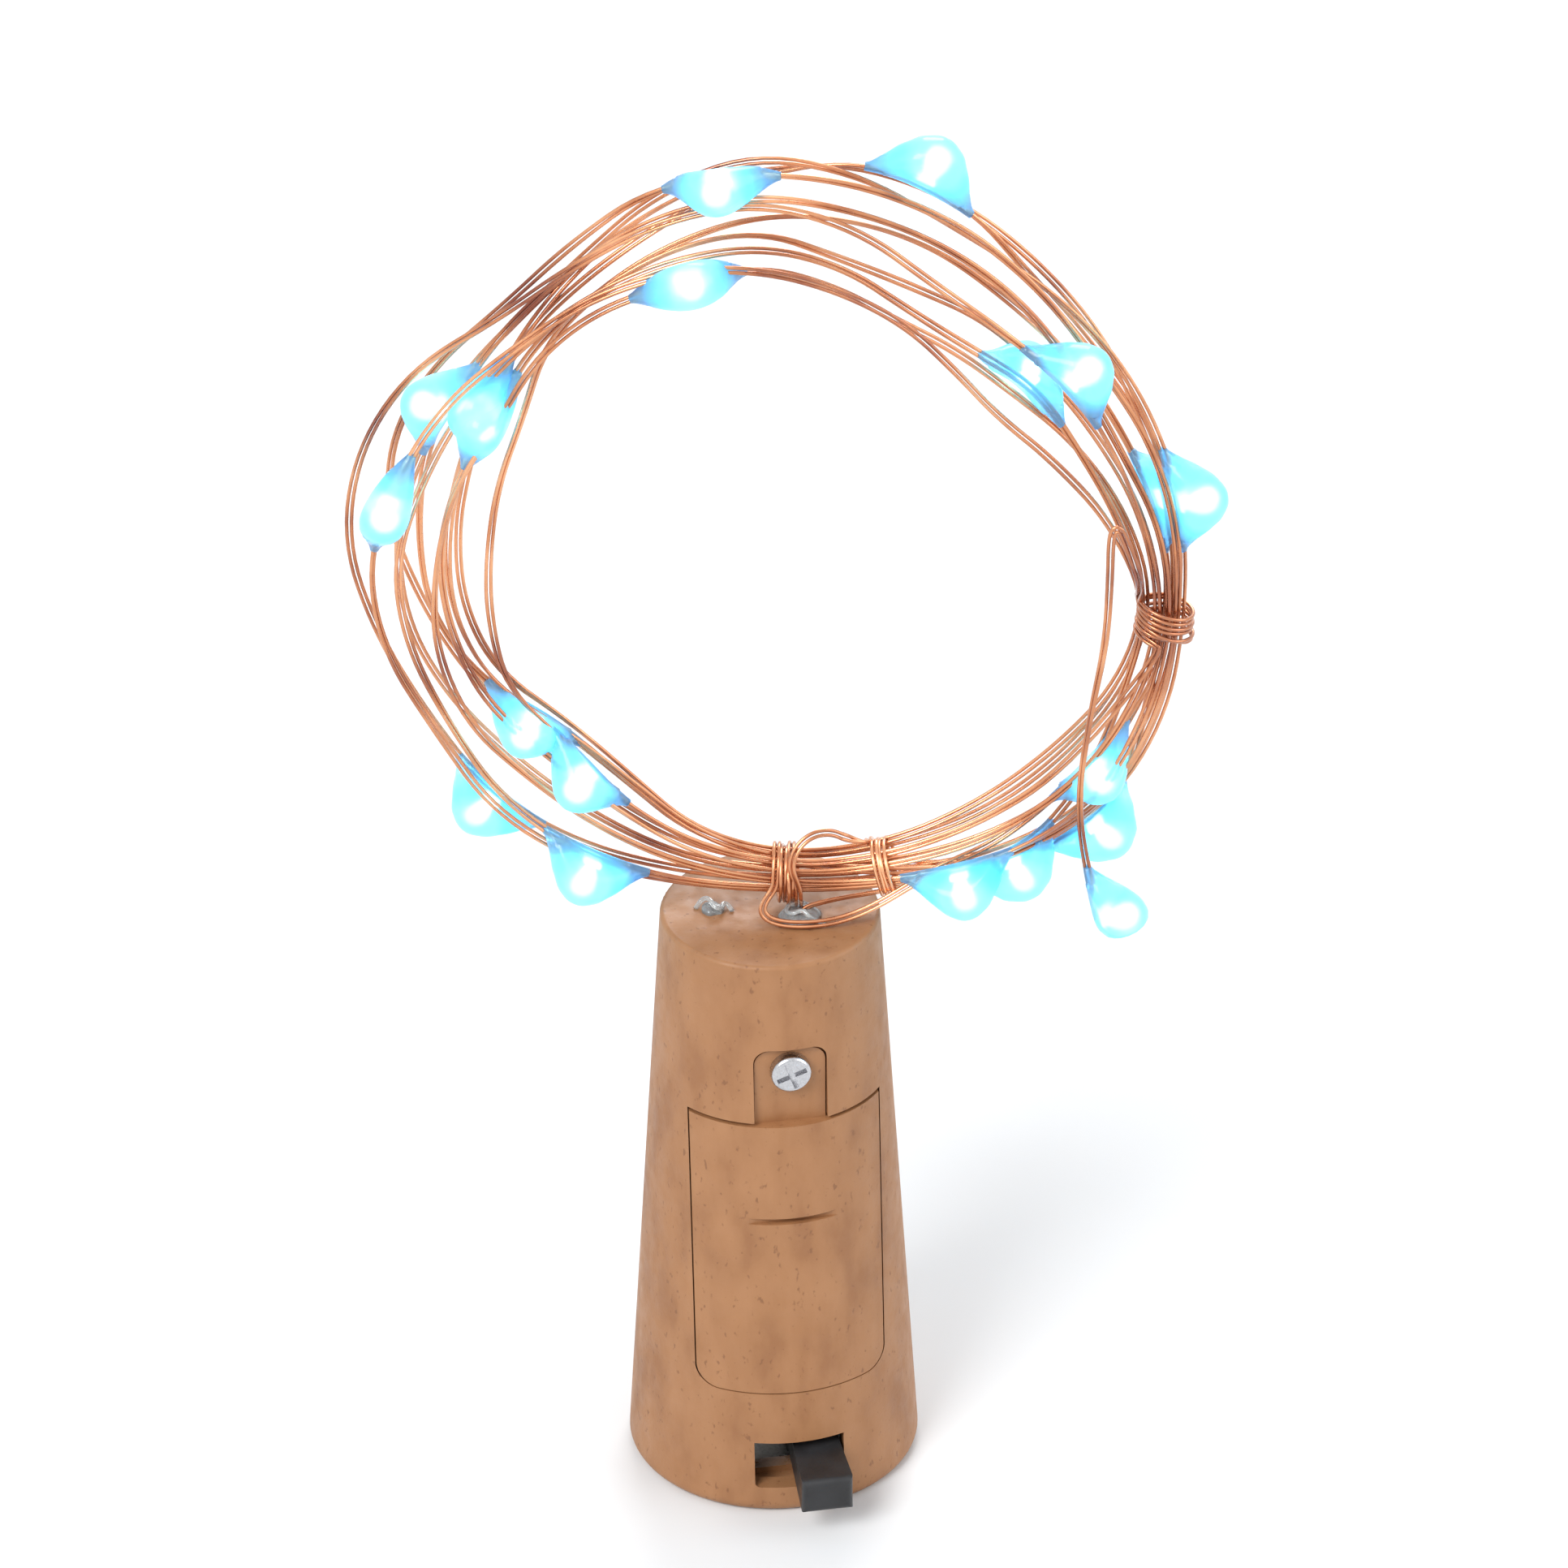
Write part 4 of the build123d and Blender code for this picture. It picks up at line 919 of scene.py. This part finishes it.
@dataclass(frozen=True)
class InnerLight:
    """The lit chip on the wires inside a drop, and the bright spot of light over it."""

    half_length: float = 0.7 * MM
    half_width: float = 0.45 * MM
    bottom: float = 0.5 * MM
    top: float = 1.0 * MM
    bevel: float = 0.08 * MM
    spot_middle: float = 1.95 * MM
    spot_half_height: float = 0.95 * MM
    spot_radius: float = 0.78 * MM
    spot_taper: float = 0.1 * MM
    spot_tip: float = 0.02
    rows: int = 13
    ring_points: int = 20

    def chip(self, foot: Vector, along: Vector, out: Vector) -> list[Ring]:
        """Shape the chip, a small block with bevelled edges.

        Args:
            foot: Place on the string under it.
            along: Heading of the string.
            out: Direction in which the chip faces.

        Returns:
            Rings of its skin.
        """
        across = along.cross(out)
        corners = ((-1, -1), (1, -1), (1, 1), (-1, 1))
        rings = []
        for height, inset in (
            (self.bottom, self.bevel),
            (self.bottom + self.bevel, 0.0),
            (self.top - self.bevel, 0.0),
            (self.top, self.bevel),
        ):
            reach_along = along * (self.half_length - inset)
            reach_across = across * (self.half_width - inset)
            rings.append([foot + out * height + reach_along * x + reach_across * y for x, y in corners])
        return rings

    def bright_spot(self, foot: Vector, along: Vector, out: Vector) -> list[Ring]:
        """Shape the bright spot, an egg from the chip out to the bulb's middle.

        Args:
            foot: Place on the string under it.
            along: Heading of the string.
            out: Direction in which the bulb stands off.

        Returns:
            Rings of its skin.
        """
        across = along.cross(out)
        rings = []
        for row in range(self.rows):
            rise = math.pi * row / (self.rows - 1)
            height = self.spot_middle - self.spot_half_height * math.cos(rise)
            width = self.spot_radius - self.spot_taper * math.cos(rise)
            reach = max(self.spot_tip, math.sin(rise)) * width
            rings.append(circle(foot + out * height, along, across, reach, self.ring_points))
        return rings


@dataclass
class DropLights:
    """Resin drops on the string, each with a bulb that stands off the wires over a lit chip."""

    half_length: float = 4.3 * MM
    bulb_radius: float = 1.72 * MM
    height: float = 3.9 * MM
    skin_radius: float = 0.42 * MM
    tip_radius: float = 0.31 * MM
    glow_height_share: float = 0.58
    glow_reach: float = 3.6 * MM
    least_radius: float = 0.02 * MM
    width_power: float = 1.25
    height_power: float = 1.6
    rows: int = 37
    ring_points: int = 28
    last_bulge: Vector = field(default_factory=lambda: Vector((1.0, -0.4, -0.2)))
    last_setback: float = 0.1
    places: tuple[DropPlace, ...] = (
        DropPlace(315.9, -70, -3, 0),
        DropPlace(507.3, -60, 0, -3.3),
        DropPlace(749.5, 80, 2.6, 0),
        DropPlace(959.5, -30, 1, 0),
        DropPlace(1174, -90, -0.6, -0.8),
        DropPlace(1391, 0, 4.2, -2.2),
        DropPlace(1593.6, -70),
        DropPlace(1833.4, -10, 1, 0),
        DropPlace(2029, 0),
        DropPlace(2229.7, 0, 4.8, -1.4),
        DropPlace(2463.5, -10, 4.6, -0.6),
        DropPlace(2693.3, -85, -1.3, -0.3),
        DropPlace(2886.7, -20),
        DropPlace(3105.2, -60, -1.6, -1.5),
        DropPlace(3349, -70, 0.9, -1.8),
        DropPlace(3539, -30, 0.6, 0),
        DropPlace(3760.5, -30, -1, -0.6),
        DropPlace(3967.1, 10, 0.6, 0),
        DropPlace(4199, -60, 0.4, 0),
    )

    def shares(self) -> list[float]:
        """Places of the rows along a drop, from -1 to 1."""
        return [-1 + 2 * row / (self.rows - 1) for row in range(self.rows)]

    def outline(self, share: float, rounded: bool) -> tuple[float, float, float]:
        """Section of a drop at a share of its half length.

        Args:
            share: Place along the drop, from -1 to 1.
            rounded: Whether it closes in a round end there instead of a thin tail.

        Returns:
            Radius round the wires, radius of the far side, and the distance between the two.
        """
        if rounded:
            swell = math.sqrt(max(0.0, 1 - share**2))
            near = max(self.skin_radius * swell, self.least_radius)
            far = max(self.bulb_radius * swell, near)
            height = self.height * swell
        else:
            swell = math.cos(share * math.pi / 2)
            near = self.tip_radius + (self.skin_radius - self.tip_radius) * swell
            far = near + (self.bulb_radius - near) * swell**self.width_power
            height = near + (self.height - near) * swell**self.height_power
        return near, far, max(0.0, height - far)

    def ring(self, near: float, far: float, distance: float) -> list[Pair]:
        """Points round the hull of two circles.

        Args:
            near: Radius of the circle round the wires.
            far: Radius of the outer circle.
            distance: Distance between their centres.

        Returns:
            (outward, sideways) for each point.
        """
        slope = 0.0
        if distance > abs(far - near):
            slope = math.asin((far - near) / distance)
        points = []
        half = self.ring_points // 2
        for spot in range(half):
            turn = -math.pi / 2 - slope + (math.pi + 2 * slope) * spot / (half - 1)
            points.append((distance + far * math.cos(turn), far * math.sin(turn)))
        for spot in range(half):
            turn = math.pi / 2 + slope + (math.pi - 2 * slope) * spot / (half - 1)
            points.append((near * math.cos(turn), near * math.sin(turn)))
        return points

    def drop(self, name: str, path: Vectors, bulge: Vector, material: Material, last: bool) -> Object:
        """Make one drop along its stretch of the string.

        Args:
            name: The piece's name.
            path: Points of the string inside the drop.
            bulge: Direction in which its bulb stands off.
            material: Finish of the resin.
            last: Whether it hangs on the string's end.

        Returns:
            The drop's mesh.
        """
        rings, glows = [], []
        for point, heading, share in zip(path, directions(path), self.shares()):
            out = square_to(bulge, heading)
            across = heading.cross(out)
            near, far, distance = self.outline(share, last and share > 0)
            ring = []
            for outward, sideways in self.ring(near, far, distance):
                ring.append(point + out * outward + across * sideways)
                rise = outward - self.glow_height_share * self.height
                reach = math.hypot(share * self.half_length, rise)
                glows.append(max(0.0, 1 - reach / self.glow_reach))
            rings.append(ring)
        shape = Shape()
        shape.add(rings)
        piece = shape.piece(name, material, angle=75, on_ring=True)
        glow = piece.data.attributes.new("glow", "FLOAT", "POINT")
        glow.data.foreach_set("value", glows)
        return piece

    def bulge(self, number: int, foot: Vector, centre: Vector) -> Vector:
        """Direction in which a drop's bulb stands off the string.

        Args:
            number: The drop's number, counted from one.
            foot: Place on the string at the drop's middle.
            centre: Centre of the string's ring.

        Returns:
            The direction, across the string or nearly so.
        """
        if number > len(self.places):
            return self.last_bulge
        out = foot - centre
        out.y = 0
        lean = math.radians(self.places[number - 1].lean)
        return out.normalized() * math.cos(lean) + BACK * math.sin(lean)

    def build(self, string: LightString, resin: Material, lit: Material) -> tuple[list[Object], Object]:
        """Make every drop and the lights inside them.

        Args:
            string: The string that carries them.
            resin: Finish of the drops.
            lit: Finish of the chips.

        Returns:
            The drops, and one piece of all the chips.
        """
        drops: list[Object] = []
        light, lights = InnerLight(), Shape()
        middles = [string.lengths[string.spot_of(place.angle)] for place in self.places]
        middles.append(string.lengths[-1] - self.last_setback * self.half_length)
        half = self.rows // 2
        for number, middle in enumerate(middles, 1):
            last = number == len(middles)
            path = []
            for share in self.shares():
                reach = self.bulb_radius if last and share > 0 else self.half_length
                path.append(point_at(string.path, string.lengths, middle + share * reach))
            bulge = self.bulge(number, path[half], string.centre)
            drops.append(self.drop(f"led_drop_{number:02d}_resin", path, bulge, resin, last))
            heading = (path[half + 1] - path[half - 1]).normalized()
            out = square_to(bulge, heading)
            lights.add(light.chip(path[half], heading, out))
            lights.add(light.bright_spot(path[half], heading, out))
        return drops, lights.piece("led_chips_lit", lit, angle=30, on_ring=True)


# Stopper


@dataclass(frozen=True)
class GlueMound:
    """A set blob of glue on the body's top, with a thin thread drawn out of it.

    The thread's points are in mm from the blob's middle on the body's top.
    """

    name: str
    node: str
    x: float
    y: float
    radius: float
    height: float
    thread: tuple[Point, ...]
    stem_radius: float = 0.0
    stem_length: float = 0.0
    thread_radius: float = 0.17 * MM
    thread_sides: int = 10
    thread_steps: int = 8
    lumps: float = 0.3
    lumpy_from: float = 0.3
    lump_size: float = 1.3
    edge_power: float = 0.8
    height_power: float = 0.75
    tip_share: float = 0.02
    base: float = 47.0 * MM
    rows: int = 14
    spots: int = 40

    def build(self, material: Material) -> None:
        """Make the blob, lumpy round its edge, with a stem down the hole where it has one.

        Args:
            material: Finish of the glue.
        """
        rings = []
        if self.stem_length:
            rings += [self.ring(self.stem_radius, height, 0) for height in (-self.stem_length, 0.0)]
        for row in range(self.rows):
            rise = row / self.rows * math.pi / 2
            reach = self.radius * math.cos(rise) ** self.edge_power
            height = self.height * math.sin(rise) ** self.height_power
            rings.append(self.ring(reach, height, self.lumps * self.radius))
        rings.append(self.ring(self.tip_share * self.radius, self.height, 0))
        blob = Shape()
        blob.add(rings)
        foot = Vector((self.x, self.y, self.base))
        path = follow([foot + point for point in from_mm(self.thread)], self.thread_steps)
        blob.add_wire(path, [UP] * len(path), self.thread_radius, self.thread_sides)
        stand_for(blob.piece(self.name, material, angle=70, on_ring=True), Slot.GLUE, self.node)

    def ring(self, radius: float, height: float, lump: float) -> Ring:
        """One ring of the blob.

        Args:
            radius: Its mean radius.
            height: Its height over the body's top.
            lump: How far it strays in and out.

        Returns:
            Its points.
        """
        middle = Vector((self.x, self.y, self.base + height))
        ring = []
        for away in circle(Vector(), RIGHT, BACK, 1.0, self.spots):
            wave = noise.noise(away * self.lump_size + UP * (self.x + height) / MM)
            reach = radius + lump * wave * (radius > self.lumpy_from * self.radius)
            ring.append(middle + away * reach)
        return ring


@dataclass
class WoundSpring:
    """The contact spring, a conical coil of round wire under the cells."""

    wire: float = 0.5 * MM
    height: float = 5.9 * MM
    base_radius: float = 4.2 * MM
    top_radius: float = 2.2 * MM
    turns: int = 4
    foot: float = 10.3 * MM
    turn_controls: int = 16
    steps: int = 4
    wire_sides: int = 12

    def build(self, material: Material) -> None:
        """Make the spring.

        Args:
            material: Finish of the wire.
        """
        controls = []
        count = self.turns * self.turn_controls
        for index in range(count + 1):
            share = index / count
            turn = 2 * math.pi * self.turns * share
            radius = self.base_radius + (self.top_radius - self.base_radius) * share
            height = self.foot + self.wire / 2 + (self.height - self.wire) * share
            controls.append(Vector((radius * math.cos(turn), radius * math.sin(turn), height)))
        path, spring = follow(controls, self.steps), Shape()
        spring.add_wire(path, [UP] * len(path), self.wire / 2, self.wire_sides)
        piece = spring.piece("contact_spring_wire", material, angle=60)
        stand_for(piece, Slot.SPRING, "contact_spring")


@dataclass(frozen=True)
class InnerLead:
    """An insulated lead inside the body, soldered at both ends, with its points in mm."""

    name: str
    node: str
    slot: Slot
    points: tuple[Point, ...]
    diameter: float = 0.8 * MM
    steps: int = 10
    sides: int = 14
    across: Point = (1.0, 0.2, 0.0)

    def build(self, material: Material) -> None:
        """Make the lead as one smooth tube.

        Args:
            material: Finish of the insulation.
        """
        path, lead = follow(from_mm(self.points), self.steps), Shape()
        lead.add_wire(path, [Vector(self.across)] * len(path), self.diameter / 2, self.sides)
        stand_for(lead.piece(self.name, material, angle=60), self.slot, self.node)


@dataclass
class Stopper:
    """The cork-shaped body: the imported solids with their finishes, and what is glued and wound in it."""

    bevel: float = 0.12 * MM
    bevel_angle: float = 50.0
    crisp: float = 32.0
    exit_glue: GlueMound = GlueMound(
        name="exit_glue",
        node="exit_seal",
        x=2.3 * MM,
        y=-1.23 * MM,
        radius=1.5 * MM,
        height=0.7 * MM,
        thread=(
            (0.9, 0.6, 0.3),
            (0.2, 0.7, 0.9),
            (-0.8, 0.4, 1.0),
            (-1.2, -0.3, 0.7),
            (-0.7, -0.9, 0.8),
            (0.1, -0.7, 1.1),
            (0.5, -1.1, 0.8),
            (1.2, -1.2, 0.3),
            (1.7, -0.8, 0.1),
        ),
        stem_radius=1.2 * MM,
        stem_length=1.8 * MM,
    )
    stray_glue: GlueMound = GlueMound(
        name="stray_glue",
        node="glue_dab",
        x=-4.27 * MM,
        y=-0.21 * MM,
        radius=0.8 * MM,
        height=0.5 * MM,
        thread=(
            (-1.2, 0.1, 0.05),
            (-0.9, 0.6, 0.4),
            (-0.4, 0.5, 0.8),
            (0.0, -0.2, 0.9),
            (0.3, -0.7, 0.6),
            (0.8, -0.5, 0.4),
            (0.8, 0.2, 0.5),
            (1.2, 0.3, 0.3),
            (1.5, -0.3, 0.1),
        ),
    )
    switch_lead: InnerLead = InnerLead(
        name="switch_lead_wire",
        node="switch_lead",
        slot=Slot.RED_LEAD,
        points=(
            (0.16, -2.579, 4.25),
            (0.16, -0.179, 4.25),
            (0.0, 4.05, 5.8),
            (0.0, 6.45, 8.2),
            (0.0, 6.45, 34.3),
            (0.0, 3.25, 37.5),
            (1.55, -1.61, 40.3),
            (1.55, -1.61, 41.9),
        ),
    )
    cell_lead: InnerLead = InnerLead(
        name="cell_lead_wire",
        node="cell_lead",
        slot=Slot.BLACK_LEAD,
        points=((2.66, -2.579, 4.25), (2.66, 1.2, 4.25), (2.66, 1.2, 10.0)),
    )

    def dress(self, frame: dict, node: str, material: Material, bevel: float = 0.0) -> None:
        """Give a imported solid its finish, smooth shading and softened edges.

        Args:
            frame: The loaded frame.
            node: The solid's name.
            material: Its finish.
            bevel: Width of the softened edges.
        """
        piece = frame["nodes"][node]
        piece.data.materials.clear()
        piece.data.materials.append(material)
        piece.data.shade_smooth()
        piece.data.set_sharp_from_angle(angle=math.radians(self.crisp))
        if bevel:
            edge = piece.modifiers.new("soft_edges", "BEVEL")
            edge.width = bevel
            edge.segments = 2
            edge.limit_method = "ANGLE"
            edge.angle_limit = math.radians(self.bevel_angle)
            edge.use_clamp_overlap = True
        LOG.info("%s dressed", node)

    def build(self, frame: dict) -> None:
        """Dress every solid of the stopper and add its glue, spring and leads.

        Args:
            frame: The loaded frame.
        """
        cork, nickel, black = CORK.build(), NICKEL.build(), BLACK.build()
        sheet_steel = SHEET_STEEL.build()
        for node in ("housing_shell", "battery_door", "base_cap"):
            self.dress(frame, node, cork, self.bevel)
        for node in ("button_cell_1", "button_cell_2", "button_cell_3"):
            self.dress(frame, node, nickel)
        for node in ("spring_plate", "top_contact", "switch_case", "switch_terminals"):
            self.dress(frame, node, sheet_steel)
        self.dress(frame, "door_screw", CHROME.build())
        self.dress(frame, "cell_cradle", WHITE.build())
        self.dress(frame, "switch_lever", black, self.bevel)
        self.dress(frame, "joint_sleeve", black)
        self.dress(frame, "limit_resistor", LACQUER.build())
        glue = HOT_GLUE.build()
        self.exit_glue.build(glue)
        self.stray_glue.build(glue)
        WoundSpring().build(sheet_steel)
        self.switch_lead.build(RED.build())
        self.cell_lead.build(black)


# Studio


@dataclass(frozen=True)
class Lamp:
    """A square lamp aimed at the object."""

    name: str
    place: Point
    size: float
    power: float
    aim_height: float = 50 * MM

    def hang(self) -> None:
        """Put the lamp in the scene."""
        data = bpy.data.lights.new(self.name, "AREA")
        data.size = self.size
        data.energy = self.power
        lamp = add_object(self.name, data)
        lamp.location = self.place
        aim = UP * self.aim_height - Vector(self.place)
        lamp.rotation_euler = aim.to_track_quat("-Z", "Y").to_euler()


@dataclass
class Studio:
    """Pale floor, soft lamps and the camera."""

    azimuth: float = -10.0
    elevation: float = 31.853
    distance: float = 0.7
    lens: float = 220.28
    target_height: float = 57.73 * MM
    target_right: float = 1.10 * MM
    roll: float = -0.379
    sensor: float = 36.0
    floor_half: float = 3.0
    floor_colour: Colour = (0.78, 0.79, 0.80)
    fade_start: float = 0.3
    fade_end: float = 0.9
    sky: Colour = (0.97, 0.985, 1.0)
    sky_strength: float = 0.55
    lamps: tuple[Lamp, ...] = (
        Lamp("key", (-0.55, -0.55, 0.75), 0.5, 9.0),
        Lamp("fill", (0.7, -0.3, 0.45), 0.6, 3.0),
        Lamp("rim", (0.2, 0.7, 0.6), 0.4, 4.0),
    )

    def camera(self) -> None:
        """Set the camera where the photograph was taken."""
        turn, rise = math.radians(self.azimuth), math.radians(self.elevation)
        back = Vector((math.sin(turn) * math.cos(rise), -math.cos(turn) * math.cos(rise), math.sin(rise)))
        right = Vector((math.cos(turn), math.sin(turn), 0.0))
        data = bpy.data.cameras.new("camera")
        data.lens = self.lens
        data.sensor_width = self.sensor
        data.clip_start = 10 * MM
        camera = add_object("camera", data)
        camera.location = UP * self.target_height + right * self.target_right + back * self.distance
        look = (-back).to_track_quat("-Z", "Y").to_matrix()
        camera.rotation_euler = (look @ Matrix.Rotation(math.radians(self.roll), 3, "Z")).to_euler()
        bpy.context.scene.camera = camera

    def floor(self) -> None:
        """Lay the pale floor, which fades to white away from the object."""
        half = self.floor_half
        corners = [Vector((x * half, y * half, 0.0)) for x, y in ((-1, -1), (1, -1), (1, 1), (-1, 1))]
        sheet = Surface("pale_floor")
        sheet.set({"Base Color": self.floor_colour, "Roughness": 0.65, "Specular IOR Level": 0.2})
        reach = sheet.add("VectorMath", {0: sheet.place}, operation="LENGTH").outputs["Value"]
        span = {"Value": reach, "From Min": self.fade_start, "From Max": self.fade_end}
        fade = sheet.add("MapRange", {**span, "To Max": sheet.seen_directly()}).outputs["Result"]
        white = sheet.add("Emission", {"Color": self.sky}).outputs["Emission"]
        mix = sheet.add("MixShader", {"Fac": fade, 1: sheet.shader.outputs["BSDF"], 2: white})
        sheet.fill(sheet.tree.nodes["Material Output"], {"Surface": mix.outputs["Shader"]})
        Shape(corners, [(0, 1, 2, 3)]).piece("floor", sheet.material, angle=40)

    def build(self) -> None:
        """Set up the whole studio."""
        scene = bpy.context.scene
        scene.view_settings.view_transform = "Standard"
        world = bpy.data.worlds.new("studio")
        world.use_nodes = True
        sheet = NodeSheet(world.node_tree)
        span = {"Value": sheet.seen_directly(), "To Min": self.sky_strength, "To Max": 1.0}
        strength = sheet.add("MapRange", span).outputs["Result"]
        sheet.fill(world.node_tree.nodes["Background"], {"Color": self.sky, "Strength": strength})
        scene.world = world
        self.floor()
        for lamp in self.lamps:
            lamp.hang()


def main() -> None:
    """Build the scene in order and report each part of it."""
    logging.basicConfig(level=logging.INFO, format="%(message)s")
    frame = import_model()
    studio = Studio()
    studio.camera()
    lights = DropLights()
    string = LightString(drops=lights.places)
    wires = string.build(COPPER.build())
    stretches = ("string_lead", "string_lower_tie", "string_coil", "string_side_tie", "string_tail")
    stand_for(wires, Slot.STRING, *stretches)
    LOG.info("the string is %.3f m long", string.lengths[-1])
    drops, chips = lights.build(string, ClearResin().build(), LIT_CHIP.build())
    for number, drop in enumerate(drops, 1):
        stand_for(drop, Slot.DROP, f"led_drop_{number:02d}")
    stand_for(chips, Slot.CHIP, "led_chips")
    Stopper().build(frame)
    studio.build()


if __name__ == "__main__":
    main()
